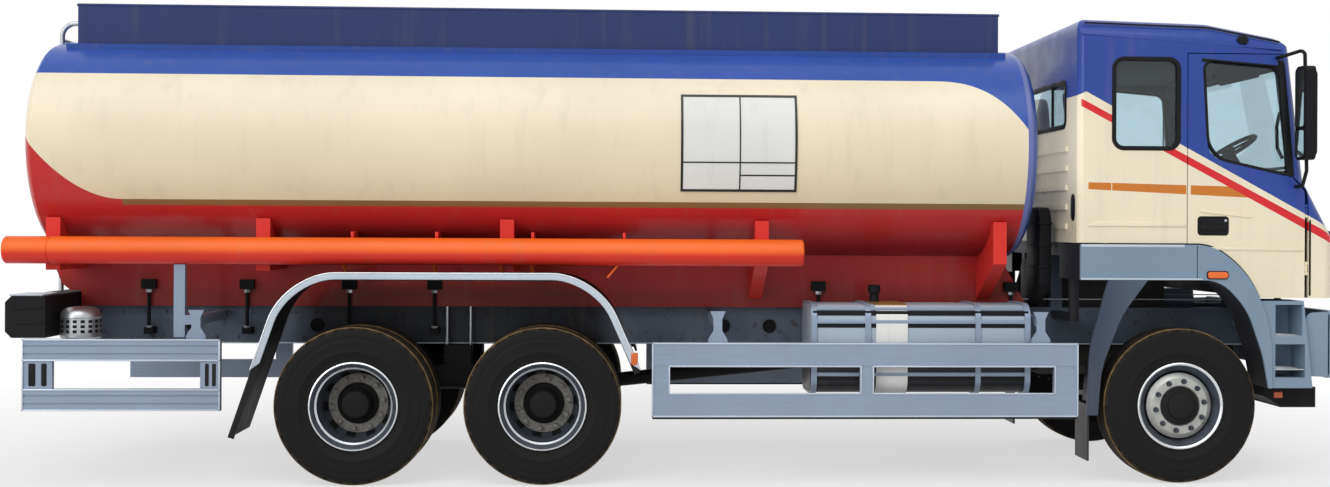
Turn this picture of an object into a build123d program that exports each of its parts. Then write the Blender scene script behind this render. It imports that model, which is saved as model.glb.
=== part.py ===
from build123d import *
from math import atan2, cos, radians, sin, sqrt
import os

os.makedirs("parts", exist_ok=True)

# A three-axle rigid road tanker with a tilting cab. Millimetres, X forward, Y left, Z up,
# origin on the ground under the middle. The right side (Y below 0) is drawn, the left mirrored.

# Overall
front_end = 4345
rear_end = -front_end
running_gap = 0.08
seat_gap = 0.3
guard_outer_y = 1225

# Wheels and tyres, radius and offset from the tyre's middle, outboard positive
tyre_radius = 510
tyre_half_width = 125
rim_radius = 256
rim_wall = 28
rim_half = 108
flange_radius = 285
flange_wall = 12
front_axle_x = 3272
first_rear_x = -915
bogie_spread = 1209
second_rear_x = first_rear_x - bogie_spread
axle_z = tyre_radius
front_tyre_y = 1080
rear_tyre_y = 1100
twin_spacing = 290
stub_radius = 40
spindle_radius = 50
kingpin_y = 960
kingpin_radius = 22

# Ladder frame
rail_top = 1120
rail_height = 260
rail_bottom = rail_top - rail_height
rail_flange = 80
rail_plate = 10
rail_outer_y = 430
rail_inner_y = rail_outer_y - rail_flange
rail_mid_y = rail_outer_y - rail_flange / 2
rail_rear_x = -4070
rail_front_x = 4200

# Running gear
front_leaf = 14
rear_leaf = 15
spring_width = 76
rear_spring_y = 540
beam_top = 500
spring_pad_z = 600
engine_rear_x = 2560
gearbox_rear_x = 1750
gearbox_out_z = 800
nose_length = 330
nose_z = axle_z + 50
shaft_radius = 50

# Tank, an arc-built section: widest at the middle, shoulder and lower points on the arcs
tank_rear_x = -4167
tank_front_x = 2276
tank_half = 1220
tank_mid_z = 2220
shoulder_in = 500
shoulder_y = tank_half - shoulder_in
shoulder_z = 2850
lower_in = 600
lower_y = tank_half - lower_in
lower_z = 1500
head_depth = 100
manhole_xs = (-3415, -1846, -272, 1392)
collar_radius = 260
collar_rise = 102
lid_thickness = 25
hinge_back = 285
hinge_pin = 8
outlet_drop = 48.6
outlet_bore = 50
bearer_inner_y = 400
bearer_outer_y = 500
rib_xs = (-4071, -2733, -1158, 514, 2099)
rib_width = 90
rib_top_z = 1715
rib_foot_z = 1375
brace_foot_z = 1180
brace_count = 2
mount_xs = (-3602, -2946, -2258, -1682, 951, 2295)
hose_y = tank_half - 90
hose_z = 1505
hose_radius = 88
rib_outer_y = hose_y - 80
hose_front_x = 778
coaming_rear_x = -4013
coaming_front_x = 2146
coaming_y = shoulder_y + 30
coaming_plate = 12
coaming_rise = 197
ledge_width = 50
ledge_height = 82
deck_plate = 8

# Cab
cab_rear_x = 2575
cab_front_x = 4300
cab_half = 1220
cab_wall = 45
cab_sill_z = 1225
cab_deck_z = 1582
cab_roof_z = 3060
roof_depth = 225
roof_split_z = cab_roof_z - roof_depth
roof_round = 150
pillar_round = 100
rear_round = 60
round_margin = 4
door_gap = 6
door_rear_x = 3307
door_front_x = 4092
hinge_x = 4105
hinge_y = cab_half - 12
jamb_x = 2 * hinge_x - door_front_x
door_pin = 5
tilt_x = 4240
tilt_z = 1160
tilt_pin = 16
glass_out = 12
glass_in = 20
wheel_hub = (3800, -600, 2215)
wheel_tilt = 32
steering_radius = 205

roof_line = ((cab_rear_x, cab_roof_z), (3450, cab_roof_z - 25), (3985, cab_roof_z - 125))
front_line = ((cab_front_x, cab_sill_z), (cab_front_x, 1620), (4100, 2000), roof_line[2])
wheel_edge = ((3795, cab_sill_z), (3712, 1401), (3478, cab_deck_z))
cab_side = ((cab_rear_x, cab_deck_z), *roof_line[:2], *reversed(front_line), *wheel_edge)
cab_side_radii = (0, 70, 1200, 160, 300, 80, 0, 0, 600, 330)
door_outline = (
    (door_rear_x, 1100),
    (door_rear_x, roof_split_z - door_gap),
    (3933, roof_split_z - door_gap),
    (4012, 2012),
    (door_front_x, 1932),
    (door_front_x, 1100),
)
door_window = ((3404, roof_split_z - 46), (3925, roof_split_z - 90), (3988, 2025), (3440, 2150))
door_window_radii = (60, 55, 40, 130)
side_window_top = roof_split_z - 33
side_window = ((2803, side_window_top), (3253, side_window_top), (3253, 2195), (2803, 2195))


def block(x, y, z, mode=Mode.ADD):
    """A box between pairs of limits."""
    with Locations(((x[0] + x[1]) / 2, (y[0] + y[1]) / 2, (z[0] + z[1]) / 2)):
        Box(x[1] - x[0], y[1] - y[0], z[1] - z[0], mode=mode)


def rod(start, end, radius, mode=Mode.ADD):
    """A round bar between two points."""
    along = Vector(*end) - Vector(*start)
    middle = (Vector(*end) + Vector(*start)) * 0.5
    with Locations(Plane(origin=middle, z_dir=along)):
        Cylinder(radius, along.length, mode=mode)


def finish(piece, name):
    """Label a finished part and write its file."""
    piece.part.label = name
    export_step(piece.part, f"parts/{name}.step")


def arc_pair(point_y, point_z):
    """Radius, middle point and crown of the section's corner arc ending at a point."""
    run = tank_half - point_y
    rise = point_z - tank_mid_z
    radius = (run * run + rise * rise) / (2 * run)
    centre_y = tank_half - radius
    half_turn = atan2(rise, point_y - centre_y) / 2
    middle = (centre_y + radius * cos(half_turn), tank_mid_z + radius * sin(half_turn))
    reach = point_y * abs(rise) / (point_y - centre_y)
    crown = sqrt(point_y * point_y + reach * reach) - reach
    return middle, point_z + (crown if rise > 0 else -crown)


shoulder_middle, tank_crown = arc_pair(shoulder_y, shoulder_z)
lower_middle, tank_foot = arc_pair(lower_y, lower_z)
collar_top = tank_crown + collar_rise
coaming_top = tank_crown + coaming_rise
ledge_z = shoulder_z - 70
outlet_z = tank_foot - outlet_drop


def tank_face(x, grow):
    """The tank's section at a station, grown outward by an amount."""
    with BuildSketch(Plane.YZ.offset(x)) as section:
        with BuildLine():
            ThreePointArc((-shoulder_y, shoulder_z), (0, tank_crown), (shoulder_y, shoulder_z))
            ThreePointArc((shoulder_y, shoulder_z), shoulder_middle, (tank_half, tank_mid_z))
            ThreePointArc((tank_half, tank_mid_z), lower_middle, (lower_y, lower_z))
            ThreePointArc((lower_y, lower_z), (0, tank_foot), (-lower_y, lower_z))
            ThreePointArc(
                (-lower_y, lower_z), (-lower_middle[0], lower_middle[1]), (-tank_half, tank_mid_z)
            )
            ThreePointArc(
                (-tank_half, tank_mid_z),
                (-shoulder_middle[0], shoulder_middle[1]),
                (-shoulder_y, shoulder_z),
            )
        make_face()
        if grow != 0:
            offset(amount=grow)
    return section.sketch


def tank_room():
    """The barrel grown by the seat gap, to cut its carriers to shape."""
    with BuildPart() as room:
        extrude(tank_face(tank_rear_x - head_depth, seat_gap), amount=tank_front_x - tank_rear_x + 2 * head_depth)
    return room.part


def cab_form(inset):
    """The cab's outer form, drawn in from every face by an amount."""
    with BuildPart() as form:
        with BuildSketch(Plane.XZ):
            with BuildLine():
                FilletPolyline(*cab_side, radius=cab_side_radii, close=True)
            make_face()
            if inset:
                offset(amount=-inset, kind=Kind.INTERSECTION)
        extrude(amount=cab_half + 2 * round_margin, both=True)
        add(pillar_room(inset), mode=Mode.INTERSECT)
        add(roof_room(inset), mode=Mode.INTERSECT)
    return form.part


def pillar_room(inset):
    """Plan outlines with rounded corners, pushed up along each slope of the cab's front."""
    side_y = cab_half + round_margin
    far_x = cab_front_x - cab_rear_x
    with BuildPart() as room:
        for (low_x, low_z), (high_x, high_z) in zip(front_line, front_line[1:]):
            run = Vector(high_x - low_x, 0, high_z - low_z)
            with BuildSketch(Plane.XY.offset(low_z)):
                with BuildLine():
                    FilletPolyline(
                        (cab_rear_x - far_x, -side_y),
                        (low_x + round_margin, -side_y),
                        (low_x + round_margin, side_y),
                        (cab_rear_x - far_x, side_y),
                        radius=(0, pillar_round, pillar_round, 0),
                        close=True,
                    )
                make_face()
                if inset:
                    offset(amount=-inset)
            reach = 1.5 if high_z == front_line[-1][1] else 1
            extrude(amount=run.length * reach, dir=run)
        with BuildSketch(Plane.XY):
            with BuildLine():
                FilletPolyline(
                    (cab_rear_x - round_margin, -side_y),
                    (cab_front_x + far_x, -side_y),
                    (cab_front_x + far_x, side_y),
                    (cab_rear_x - round_margin, side_y),
                    radius=(rear_round, 0, 0, rear_round),
                    close=True,
                )
            make_face()
            if inset:
                offset(amount=-inset)
        extrude(amount=2 * cab_roof_z, mode=Mode.INTERSECT)
    return room.part


def roof_room(inset):
    """Front outlines with rounded shoulders, pushed along each slope of the roof."""
    with BuildPart() as room:
        for (rear_x, rear_z), (front_x, front_z) in zip(roof_line, roof_line[1:]):
            run = Vector(front_x - rear_x, 0, front_z - rear_z)
            lead = run * 0.1 if rear_x == cab_rear_x else Vector(0, 0, 0)
            top_z = rear_z + round_margin - lead.Z
            with BuildSketch(Plane.YZ.offset(rear_x - lead.X)):
                with BuildLine():
                    FilletPolyline(
                        (-cab_half, 0),
                        (-cab_half, top_z),
                        (cab_half, top_z),
                        (cab_half, 0),
                        radius=(0, roof_round, roof_round, 0),
                        close=True,
                    )
                make_face()
                if inset:
                    offset(amount=-inset)
            reach = 2 if front_x == roof_line[-1][0] else 1
            extrude(amount=run.length * reach + lead.length, dir=run)
    return room.part


def prism(points, radii, shrink, y_from, y_to):
    """A prism across the truck from an outline in X and Z."""
    with BuildPart() as solid:
        with BuildSketch(Plane.XZ.offset(-y_to)):
            with BuildLine():
                FilletPolyline(*points, radius=radii, close=True)
            make_face()
            if shrink:
                offset(amount=-shrink)
        extrude(amount=y_to - y_from)
    return solid.part


tank_space = tank_room()
cab_outer = cab_form(0)
cab_shell = cab_outer - cab_form(cab_wall)
front_outline = (
    (jamb_x, 1100),
    (jamb_x, 1932 + door_gap),
    (4012 + door_gap, 2012 + door_gap),
    (3933 + door_gap, roof_split_z),
    (4500, roof_split_z),
    (4500, 1100),
)
back_half = cab_half - 300
back_window = ((-back_half, 2351), (back_half, 2674))
screen_half = cab_half - 210
screen_low = 2040
screen_high = 2770

# Frame rails: two channels, open inward
with BuildPart() as frame_rails:
    with BuildSketch(Plane.YZ.offset(rail_rear_x)):
        with Locations((rail_mid_y, rail_top - rail_height / 2)):
            Rectangle(rail_flange, rail_height)
        with Locations((rail_mid_y - rail_plate, rail_top - rail_height / 2)):
            Rectangle(rail_flange, rail_height - 2 * rail_plate, mode=Mode.SUBTRACT)
    extrude(amount=rail_front_x - rail_rear_x)
    for ear_y in (rail_mid_y - 34, rail_mid_y + 19):
        block((tilt_x - 120, tilt_x + 24), (ear_y, ear_y + 15), (rail_top, tilt_z + 24))
    rod((tilt_x, rail_mid_y - 34, tilt_z), (tilt_x, rail_mid_y + 34, tilt_z), tilt_pin)
    mirror(about=Plane.XZ)
finish(frame_rails, "frame_rails")

# Crossmembers inside the channels, and the arch that carries the cab's rear edge
with BuildPart() as crossmembers:
    for member_x in (-3900, -2650, -1520, -300, 1600, 3950):
        block((member_x - 35, member_x + 35), (rail_plate - rail_outer_y, rail_outer_y - rail_plate), (900, 1080))
    for post_y in (rail_mid_y, -rail_mid_y):
        block((2600, 2680), (post_y - 40, post_y + 40), (rail_top, 1500))
    block((2600, 2680), (-700, 700), (1490, cab_deck_z - seat_gap))
finish(crossmembers, "crossmembers")

# Front beam with kingpin eyes, two rear housings with noses and spring pads
with BuildPart() as axles:
    with BuildSketch(Plane.YZ.offset(front_axle_x - 45)):
        with BuildLine():
            Polyline(
                (-930, 565), (-700, 555), (-520, beam_top), (520, beam_top), (700, 555), (930, 565),
                (930, 455), (700, 440), (520, 390), (-520, 390), (-700, 440), (-930, 455),
                close=True,
            )
        make_face()
    extrude(amount=90)
    for eye_y in (kingpin_y, -kingpin_y):
        rod((front_axle_x, eye_y, axle_z - 60), (front_axle_x, eye_y, axle_z + 60), 52)
    for eye_y in (kingpin_y, -kingpin_y):
        rod(
            (front_axle_x, eye_y, axle_z - 90),
            (front_axle_x, eye_y, axle_z + 90),
            kingpin_radius + running_gap,
            Mode.SUBTRACT,
        )
    for housing_x in (first_rear_x, second_rear_x):
        with BuildSketch(Plane(origin=(housing_x, 0, axle_z), x_dir=(1, 0, 0), z_dir=(0, 0, 1))):
            with BuildLine():
                Polyline(
                    (0, -rear_tyre_y), (spindle_radius, -rear_tyre_y), (spindle_radius, -720), (75, -700),
                    (75, -330), (200, -130), (200, 130), (75, 330), (75, 700), (spindle_radius, 720),
                    (spindle_radius, rear_tyre_y), (0, rear_tyre_y),
                    close=True,
                )
            make_face()
        revolve(axis=Axis((housing_x, 0, axle_z), (0, 1, 0)))
        rod((housing_x, 0, nose_z), (housing_x + nose_length, 0, nose_z), 85)
        for pad_y in (rear_spring_y, -rear_spring_y):
            block(
                (housing_x - 60, housing_x + 60),
                (pad_y - spring_width / 2, pad_y + spring_width / 2),
                (axle_z, spring_pad_z),
            )
    rod((first_rear_x, 0, nose_z), (first_rear_x - nose_length, 0, nose_z), 85)
finish(axles, "axles")

# Leaf packs: front ones under hangers, rear ones under a middle bracket
with BuildPart() as leaf_springs:
    front_halves = (200, 300, 400, 475, 550, 625)
    for level, half in enumerate(front_halves):
        block(
            (front_axle_x - half, front_axle_x + half),
            (rail_mid_y - spring_width / 2, rail_mid_y + spring_width / 2),
            (beam_top + level * front_leaf, beam_top + (level + 1) * front_leaf),
        )
    for hanger_x in (front_axle_x - 595, front_axle_x + 595):
        block(
            (hanger_x - 30, hanger_x + 30),
            (rail_mid_y - spring_width / 2, rail_mid_y + spring_width / 2),
            (beam_top + 5 * front_leaf, rail_bottom),
        )
    bogie_x = (first_rear_x + second_rear_x) / 2
    rear_halves = (680, 680, 600, 520, 440, 360, 280, 200)
    for level, half in enumerate(rear_halves):
        block(
            (bogie_x - half, bogie_x + half),
            (rear_spring_y - spring_width / 2, rear_spring_y + spring_width / 2),
            (spring_pad_z + level * rear_leaf, spring_pad_z + (level + 1) * rear_leaf),
        )
    block(
        (bogie_x - 90, bogie_x + 90),
        (rail_inner_y, rear_spring_y + spring_width / 2),
        (spring_pad_z + 8 * rear_leaf, rail_bottom),
    )
    mirror(about=Plane.XZ)
finish(leaf_springs, "leaf_springs")

# Engine block with gearbox, on arms in the channels
with BuildPart() as engine:
    block((engine_rear_x, 3450), (-300, 300), (640, 1450))
    chamfer(engine.edges().filter_by(Axis.X), 60)
    block((gearbox_rear_x, engine_rear_x), (-190, 190), (gearbox_out_z - 140, 1000))
    for arm_x in (2850, 3300):
        block((arm_x - 40, arm_x + 40), (rail_plate - rail_outer_y, rail_outer_y - rail_plate), (980, 1060))
    block((2000, 2060), (rail_plate - rail_outer_y, rail_outer_y - rail_plate), (900, 960))
finish(engine, "engine")

# Shafts with upright end faces, from gearbox to first axle and on to the second
with BuildPart() as propeller_shafts:
    shaft_ends = (
        ((gearbox_rear_x, gearbox_out_z), (first_rear_x + nose_length, nose_z)),
        ((first_rear_x - nose_length, nose_z), (second_rear_x + nose_length, nose_z)),
    )
    for start, end in shaft_ends:
        run = Vector(end[0] - start[0], 0, end[1] - start[1])
        with BuildSketch(Plane.YZ.offset(start[0])):
            with Locations((0, start[1])):
                Circle(shaft_radius)
        extrude(amount=run.length, dir=run)
finish(propeller_shafts, "propeller_shafts")

# Fuel tank in its cage of bands, right side
fuel_x = (835, 2285)
fuel_y = (-1130, -560)
fuel_z = (585, 1165)
fuel_bands = ((835, 865), (985, 1015), (1190, 1495), (1920, 1950), (2255, 2285))
with BuildPart() as fuel_tank:
    fuel_pieces = ((fuel_x, 0),) + tuple((band, 12) for band in fuel_bands)
    for limits, grow in fuel_pieces:
        with BuildSketch(Plane.YZ.offset(limits[0])):
            with Locations(((fuel_y[0] + fuel_y[1]) / 2, (fuel_z[0] + fuel_z[1]) / 2)):
                RectangleRounded(fuel_y[1] - fuel_y[0] + 2 * grow, fuel_z[1] - fuel_z[0] + 2 * grow, 110 + grow)
        extrude(amount=limits[1] - limits[0])
    for bar_z in (1036, 725):
        block(fuel_x, (fuel_y[0] - 12, fuel_y[0] + 30), (bar_z - 12, bar_z + 12))
    for arm_x in (1100, 2050):
        block((arm_x - 40, arm_x + 40), (fuel_y[1] - 60, -rail_outer_y), (880, 1080))
    rod((1300, -780, fuel_z[1] - 20), (1300, -780, 1290), 30)
finish(fuel_tank, "fuel_tank")

# Air reservoirs and battery box, left side
with BuildPart() as air_reservoirs:
    for limits in ((330, 880), (1010, 1440)):
        rod((limits[0], 640, 980), (limits[1], 640, 980), 125)
    fillet(air_reservoirs.edges().filter_by(GeomType.CIRCLE), 50)
    for middle in (605, 1225):
        block((middle - 40, middle + 40), (rail_outer_y, 600), (920, 1040))
finish(air_reservoirs, "air_reservoirs")

with BuildPart() as battery_box:
    block((1520, 2240), (rail_outer_y, 980), (640, 1060))
    chamfer(battery_box.edges().filter_by(Axis.X), 20)
finish(battery_box, "battery_box")

# Side guards: rails grooved at the rear and flat in front, posts between them, arms to the frame
guards = (
    {"rear": -4205, "front": -2963, "low": 483, "high": 940, "rail": 140, "grooves": (0.28, 0.64)},
    {"rear": -209, "front": 2583, "low": 441, "high": 924, "rail": 151, "grooves": ()},
)
guard_depth = 45
guard_inner_y = guard_outer_y - guard_depth
with BuildPart() as side_guard_rails:
    for guard in guards:
        for low in (guard["low"], guard["high"] - guard["rail"]):
            block((guard["rear"], guard["front"]), (-guard_outer_y, -guard_inner_y), (low, low + guard["rail"]))
            for groove in guard["grooves"]:
                middle = low + guard["rail"] * groove
                block(
                    (guard["rear"], guard["front"]),
                    (-guard_outer_y, -guard_outer_y + 6),
                    (middle, middle + 12),
                    Mode.SUBTRACT,
                )
    mirror(about=Plane.XZ)
finish(side_guard_rails, "side_guard_rails")

guard_posts = (
    {"guard": 0, "rear": -4205, "front": -4017},
    {"guard": 0, "rear": -3090, "front": -2963},
    {"guard": 1, "rear": -209, "front": -92},
    {"guard": 1, "rear": 1146, "front": 1236},
    {"guard": 1, "rear": 2424, "front": 2583},
)
arm_z = (1030, 1090)
with BuildPart() as side_guard_posts:
    for post in guard_posts:
        guard = guards[post["guard"]]
        block(
            (post["rear"], post["front"]),
            (-guard_outer_y + 4, -guard_inner_y),
            (guard["low"] + guard["rail"], guard["high"] - guard["rail"]),
        )
    for arm_x, guard in ((-3128, guards[0]), (219, guards[1]), (2345, guards[1])):
        with BuildSketch(Plane.XZ.offset(guard_inner_y - 20)):
            with BuildLine():
                Polyline(
                    (arm_x - 62, guard["high"] - 130),
                    (arm_x + 62, guard["high"] - 130),
                    (arm_x + 62, guard["high"] + 20),
                    (arm_x + 28, guard["high"] + 75),
                    (arm_x + 28, 1075),
                    (arm_x + 50, 1125),
                    (arm_x - 50, 1125),
                    (arm_x - 28, 1075),
                    (arm_x - 28, guard["high"] + 75),
                    (arm_x - 62, guard["high"] + 20),
                    close=True,
                )
            make_face()
        extrude(amount=20)
        block((arm_x - 30, arm_x + 30), (-guard_inner_y + 20, -rail_outer_y), arm_z)
    block((-3980, -3910), (-guard_inner_y, -rail_outer_y), (rail_bottom + 10, 930))
    block((-3275, -3205), (-hose_y - 25, 25 - hose_y), (950, hose_z - hose_radius - 1))
    block((-3275, -3150), (-hose_y - 25, -2 * rail_outer_y), arm_z)
    mirror(about=Plane.XZ)
finish(side_guard_posts, "side_guard_posts")

# Rear mudguards over both axles, lipped at the outer edge
mudguard_line = ((-2912, 317), (-2560, 1360), (-560, 1360), (-286, 734))
with BuildPart() as rear_mudguards:
    for start_y, end_y, wall in ((640, 1238, 14), (1226, 1238, 40)):
        with BuildSketch(Plane.XZ.offset(start_y)):
            with BuildLine():
                FilletPolyline(*mudguard_line, radius=450)
                offset(amount=wall, side=Side.RIGHT)
            make_face()
        extrude(amount=end_y - start_y)
    for stay_x in (-2150, -1520, -950):
        block((stay_x - 30, stay_x + 30), (-900, -bearer_outer_y), (1310, 1350))
    mirror(about=Plane.XZ)
finish(rear_mudguards, "rear_mudguards")

# Rear bumper beam with lamp pockets
with BuildPart() as rear_bumper:
    block((-4320, rail_rear_x), (-1200, 1200), (945, 1212))
    chamfer(rear_bumper.edges().filter_by(Axis.Y).group_by(Axis.X)[0], 40)
    for lamp_y in (-925, 925):
        block((-4330, -4300), (lamp_y - 175, lamp_y + 175), (1020, 1140), Mode.SUBTRACT)
finish(rear_bumper, "rear_bumper")

# Front bumper with lamp pockets, on brackets from the rail ends
front_half = cab_half - 40
headlamp_y = front_half - 250
with BuildPart() as front_bumper:
    block((front_end - 75, front_end), (-front_half, front_half), (693, 1140))
    fillet(front_bumper.edges().filter_by(Axis.Z).group_by(Axis.X)[-1], 55)
    fillet(front_bumper.edges().filter_by(Axis.Y).group_by(Axis.X)[-1], 25)
    for lamp_y in (-headlamp_y, headlamp_y):
        block((front_end - 30, front_end + 10), (lamp_y - 150, lamp_y + 150), (850, 1010), Mode.SUBTRACT)
    for bracket_y in (rail_mid_y, -rail_mid_y):
        block(
            (rail_front_x, front_end - 70),
            (bracket_y - rail_flange / 2, bracket_y + rail_flange / 2),
            (rail_bottom + 20, 1090),
        )
finish(front_bumper, "front_bumper")

# Lamp blocks, flush in both bumpers
with BuildPart() as lamps:
    for lamp_y in (-925, 925):
        block((-4326, -4300), (lamp_y - 175, lamp_y + 175), (1020, 1140))
    for lamp_y in (-headlamp_y, headlamp_y):
        block((front_end - 30, front_end), (lamp_y - 150, lamp_y + 150), (850, 1010))
finish(lamps, "lamps")

# Front underrun bar with two tow eyes
tow_x = 4290
tow_y = 340
tow_bore = 22
with BuildPart() as front_underrun:
    block((4000, 4240), (130 - front_half, front_half - 130), (486, 622))
    for wedge_y in (480 - front_half, front_half - 130):
        with BuildSketch(Plane.XZ.offset(-wedge_y)):
            with BuildLine():
                Polyline((3890, 622), (4010, 622), (4010, 486), (3890, 560), close=True)
            make_face()
        extrude(amount=350)
    for hanger_y in (rail_mid_y, -rail_mid_y):
        block((4080, 4190), (hanger_y - 40, hanger_y + 40), (610, rail_bottom))
    for eye_y in (tow_y, -tow_y):
        block((4230, tow_x + 45), (eye_y - 45, eye_y + 45), (540, 600))
        rod((tow_x, eye_y, 500), (tow_x, eye_y, 640), tow_bore, Mode.SUBTRACT)
finish(front_underrun, "front_underrun")

# Exhaust canister on the rear guard's arm, right side
with BuildPart() as exhaust_canister:
    rod((-3920, -960, 930), (-3920, -960, 1135), 128)
    fillet(exhaust_canister.edges().filter_by(GeomType.CIRCLE).group_by(Axis.Z)[-1], 60)
finish(exhaust_canister, "exhaust_canister")

# Tank barrel with dished heads, manhole collars with hinge ears, and the outlet pipe
with BuildPart() as tank_barrel:
    extrude(tank_face(tank_rear_x, 0), amount=tank_front_x - tank_rear_x)
    head_steps = ((0, 0), (0.45, -60), (0.8, -180), (1, -420))
    for rim_x, way in ((tank_rear_x, -1), (tank_front_x, 1)):
        for (near, near_in), (far, far_in) in zip(head_steps, head_steps[1:]):
            near_face = tank_face(rim_x + way * near * head_depth, near_in)
            far_face = tank_face(rim_x + way * far * head_depth, far_in)
            loft([near_face.face(), far_face.face()], ruled=True)
    for hole_x in manhole_xs:
        rod((hole_x, 0, tank_crown - 60), (hole_x, 0, collar_top), collar_radius)
        for ear_y in (-60, 33):
            block((hole_x - hinge_back - 20, hole_x - 240), (ear_y, ear_y + 27), (tank_crown - 45, collar_top - 5))
            block(
                (hole_x - hinge_back - 20, hole_x - hinge_back + 20),
                (ear_y, ear_y + 27),
                (collar_top - 6, collar_top + 30),
            )
        rod(
            (hole_x - hinge_back, -80, collar_top + lid_thickness / 2),
            (hole_x - hinge_back, 80, collar_top + lid_thickness / 2),
            hinge_pin + running_gap,
            Mode.SUBTRACT,
        )
    rod((-4290, 0, outlet_z), (-3700, 0, outlet_z), outlet_bore + 11)
    rod((-4300, 0, outlet_z), (-4140, 0, outlet_z), outlet_bore, Mode.SUBTRACT)
finish(tank_barrel, "tank_barrel")

# Manhole lids with a knuckle and pin behind
for number, hole_x in enumerate(manhole_xs, 1):
    lid_bottom = collar_top + seat_gap
    pin_z = collar_top + lid_thickness / 2
    with BuildPart() as lid:
        rod((hole_x, 0, lid_bottom), (hole_x, 0, collar_top + lid_thickness), collar_radius - 5)
        rod((hole_x, 0, collar_top + 10), (hole_x, 0, collar_top + lid_thickness + 18), collar_radius - 60)
        block((hole_x - hinge_back, hole_x - 200), (-28, 28), (lid_bottom, collar_top + lid_thickness))
        rod((hole_x - hinge_back, -28, pin_z), (hole_x - hinge_back, 28, pin_z), 12)
        rod((hole_x - hinge_back, -60, pin_z), (hole_x - hinge_back, 60, pin_z), hinge_pin)
    finish(lid, f"lid_{number}")

# Bearers along the frame, with saddle ribs reaching out to the hose tubes
with BuildPart() as tank_bearers:
    with BuildSketch(Plane.XZ.offset(bearer_inner_y)):
        with BuildLine():
            Polyline(
                (-4060, rail_top), (2420, rail_top), (2240, 1445), (2240, 1600), (-4160, 1600),
                (-4160, 1445), (-4240, 1400), (-4190, 1270), (-4130, 1222), (-4060, 1222),
                close=True,
            )
        make_face()
    extrude(amount=bearer_outer_y - bearer_inner_y)
    for rib_x in rib_xs:
        rib_corners = [
            (-rib_outer_y, rib_foot_z),
            (-rib_outer_y, rib_top_z),
            (10 - bearer_outer_y, rib_top_z),
            (10 - bearer_outer_y, rib_foot_z),
        ]
        if rib_x in rib_xs[-brace_count:]:
            rib_corners[0] = (-rib_outer_y, rib_foot_z + 60)
            rib_corners[3:] = [(10 - bearer_outer_y, brace_foot_z), (-bearer_outer_y - 10, brace_foot_z)]
        with BuildSketch(Plane.YZ.offset(rib_x - rib_width / 2)):
            with BuildLine():
                Polyline(*rib_corners, close=True)
            make_face()
        extrude(amount=rib_width)
    rod((rear_end, -hose_y, hose_z), (hose_front_x, -hose_y, hose_z), hose_radius + seat_gap, Mode.SUBTRACT)
    add(tank_space, mode=Mode.SUBTRACT)
    mirror(about=Plane.XZ)
finish(tank_bearers, "tank_bearers")

# Tank mounts: pads on the bearers, rods down to clamps on the rails
with BuildPart() as tank_mounts:
    for mount_x in mount_xs:
        block((mount_x - 48, mount_x + 48), (-545, -bearer_outer_y), (1235, 1300))
        rod((mount_x, -522, 950), (mount_x, -522, 1240), 12)
        block((mount_x - 30, mount_x + 30), (-540, -rail_outer_y), (930, 975))
    mirror(about=Plane.XZ)
finish(tank_mounts, "tank_mounts")

# Walkway: coaming box, ledge strips and the deck between
with BuildPart() as walkway:
    block((coaming_rear_x, coaming_front_x), (-coaming_y, coaming_y), (ledge_z + 10, coaming_top))
    block(
        (coaming_rear_x + coaming_plate, coaming_front_x - coaming_plate),
        (coaming_plate - coaming_y, coaming_y - coaming_plate),
        (tank_crown + seat_gap + deck_plate, coaming_top + 10),
        Mode.SUBTRACT,
    )
    block(
        (coaming_rear_x + coaming_plate, coaming_front_x - coaming_plate),
        (coaming_plate - coaming_y, coaming_y - coaming_plate),
        (ledge_z - 80, tank_crown + seat_gap),
        Mode.SUBTRACT,
    )
    for strip_y in (-coaming_y - ledge_width, coaming_y):
        block(
            (coaming_rear_x - 60, coaming_front_x + 40),
            (strip_y, strip_y + ledge_width),
            (ledge_z, ledge_z + ledge_height),
        )
    for hole_x in manhole_xs:
        rod((hole_x, 0, tank_crown - 20), (hole_x, 0, collar_top), collar_radius + 3, Mode.SUBTRACT)
        block(
            (hole_x - hinge_back - 24, hole_x),
            (-65, 65),
            (tank_crown - 20, collar_top),
            Mode.SUBTRACT,
        )
    add(tank_space, mode=Mode.SUBTRACT)
finish(walkway, "walkway")

# Hose tubes along both sides
with BuildPart() as hose_tubes:
    rod((rear_end, -hose_y, hose_z), (hose_front_x, -hose_y, hose_z), hose_radius)
    mirror(about=Plane.XZ)
finish(hose_tubes, "hose_tubes")

# Rear ladder from the bumper to the coaming
ladder_half = 200
ladder_ys = (-ladder_half, ladder_half)
ladder_top = coaming_top - 70
ladder_x = -4290
with BuildPart() as rear_ladder:
    for stile_y in ladder_ys:
        with BuildLine() as stile:
            FilletPolyline(
                (ladder_x, stile_y, 1212),
                (ladder_x, stile_y, ladder_top),
                (coaming_rear_x, stile_y, ladder_top),
                radius=90,
            )
        with BuildSketch(Plane(origin=(ladder_x, stile_y, 1212), z_dir=(0, 0, 1))):
            Circle(17)
        sweep(path=stile.line)
    for rung in range(6):
        rung_z = 1520 + rung * 285
        rod((ladder_x, ladder_ys[0], rung_z), (ladder_x, ladder_ys[1], rung_z), 13)
finish(rear_ladder, "rear_ladder")

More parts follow.
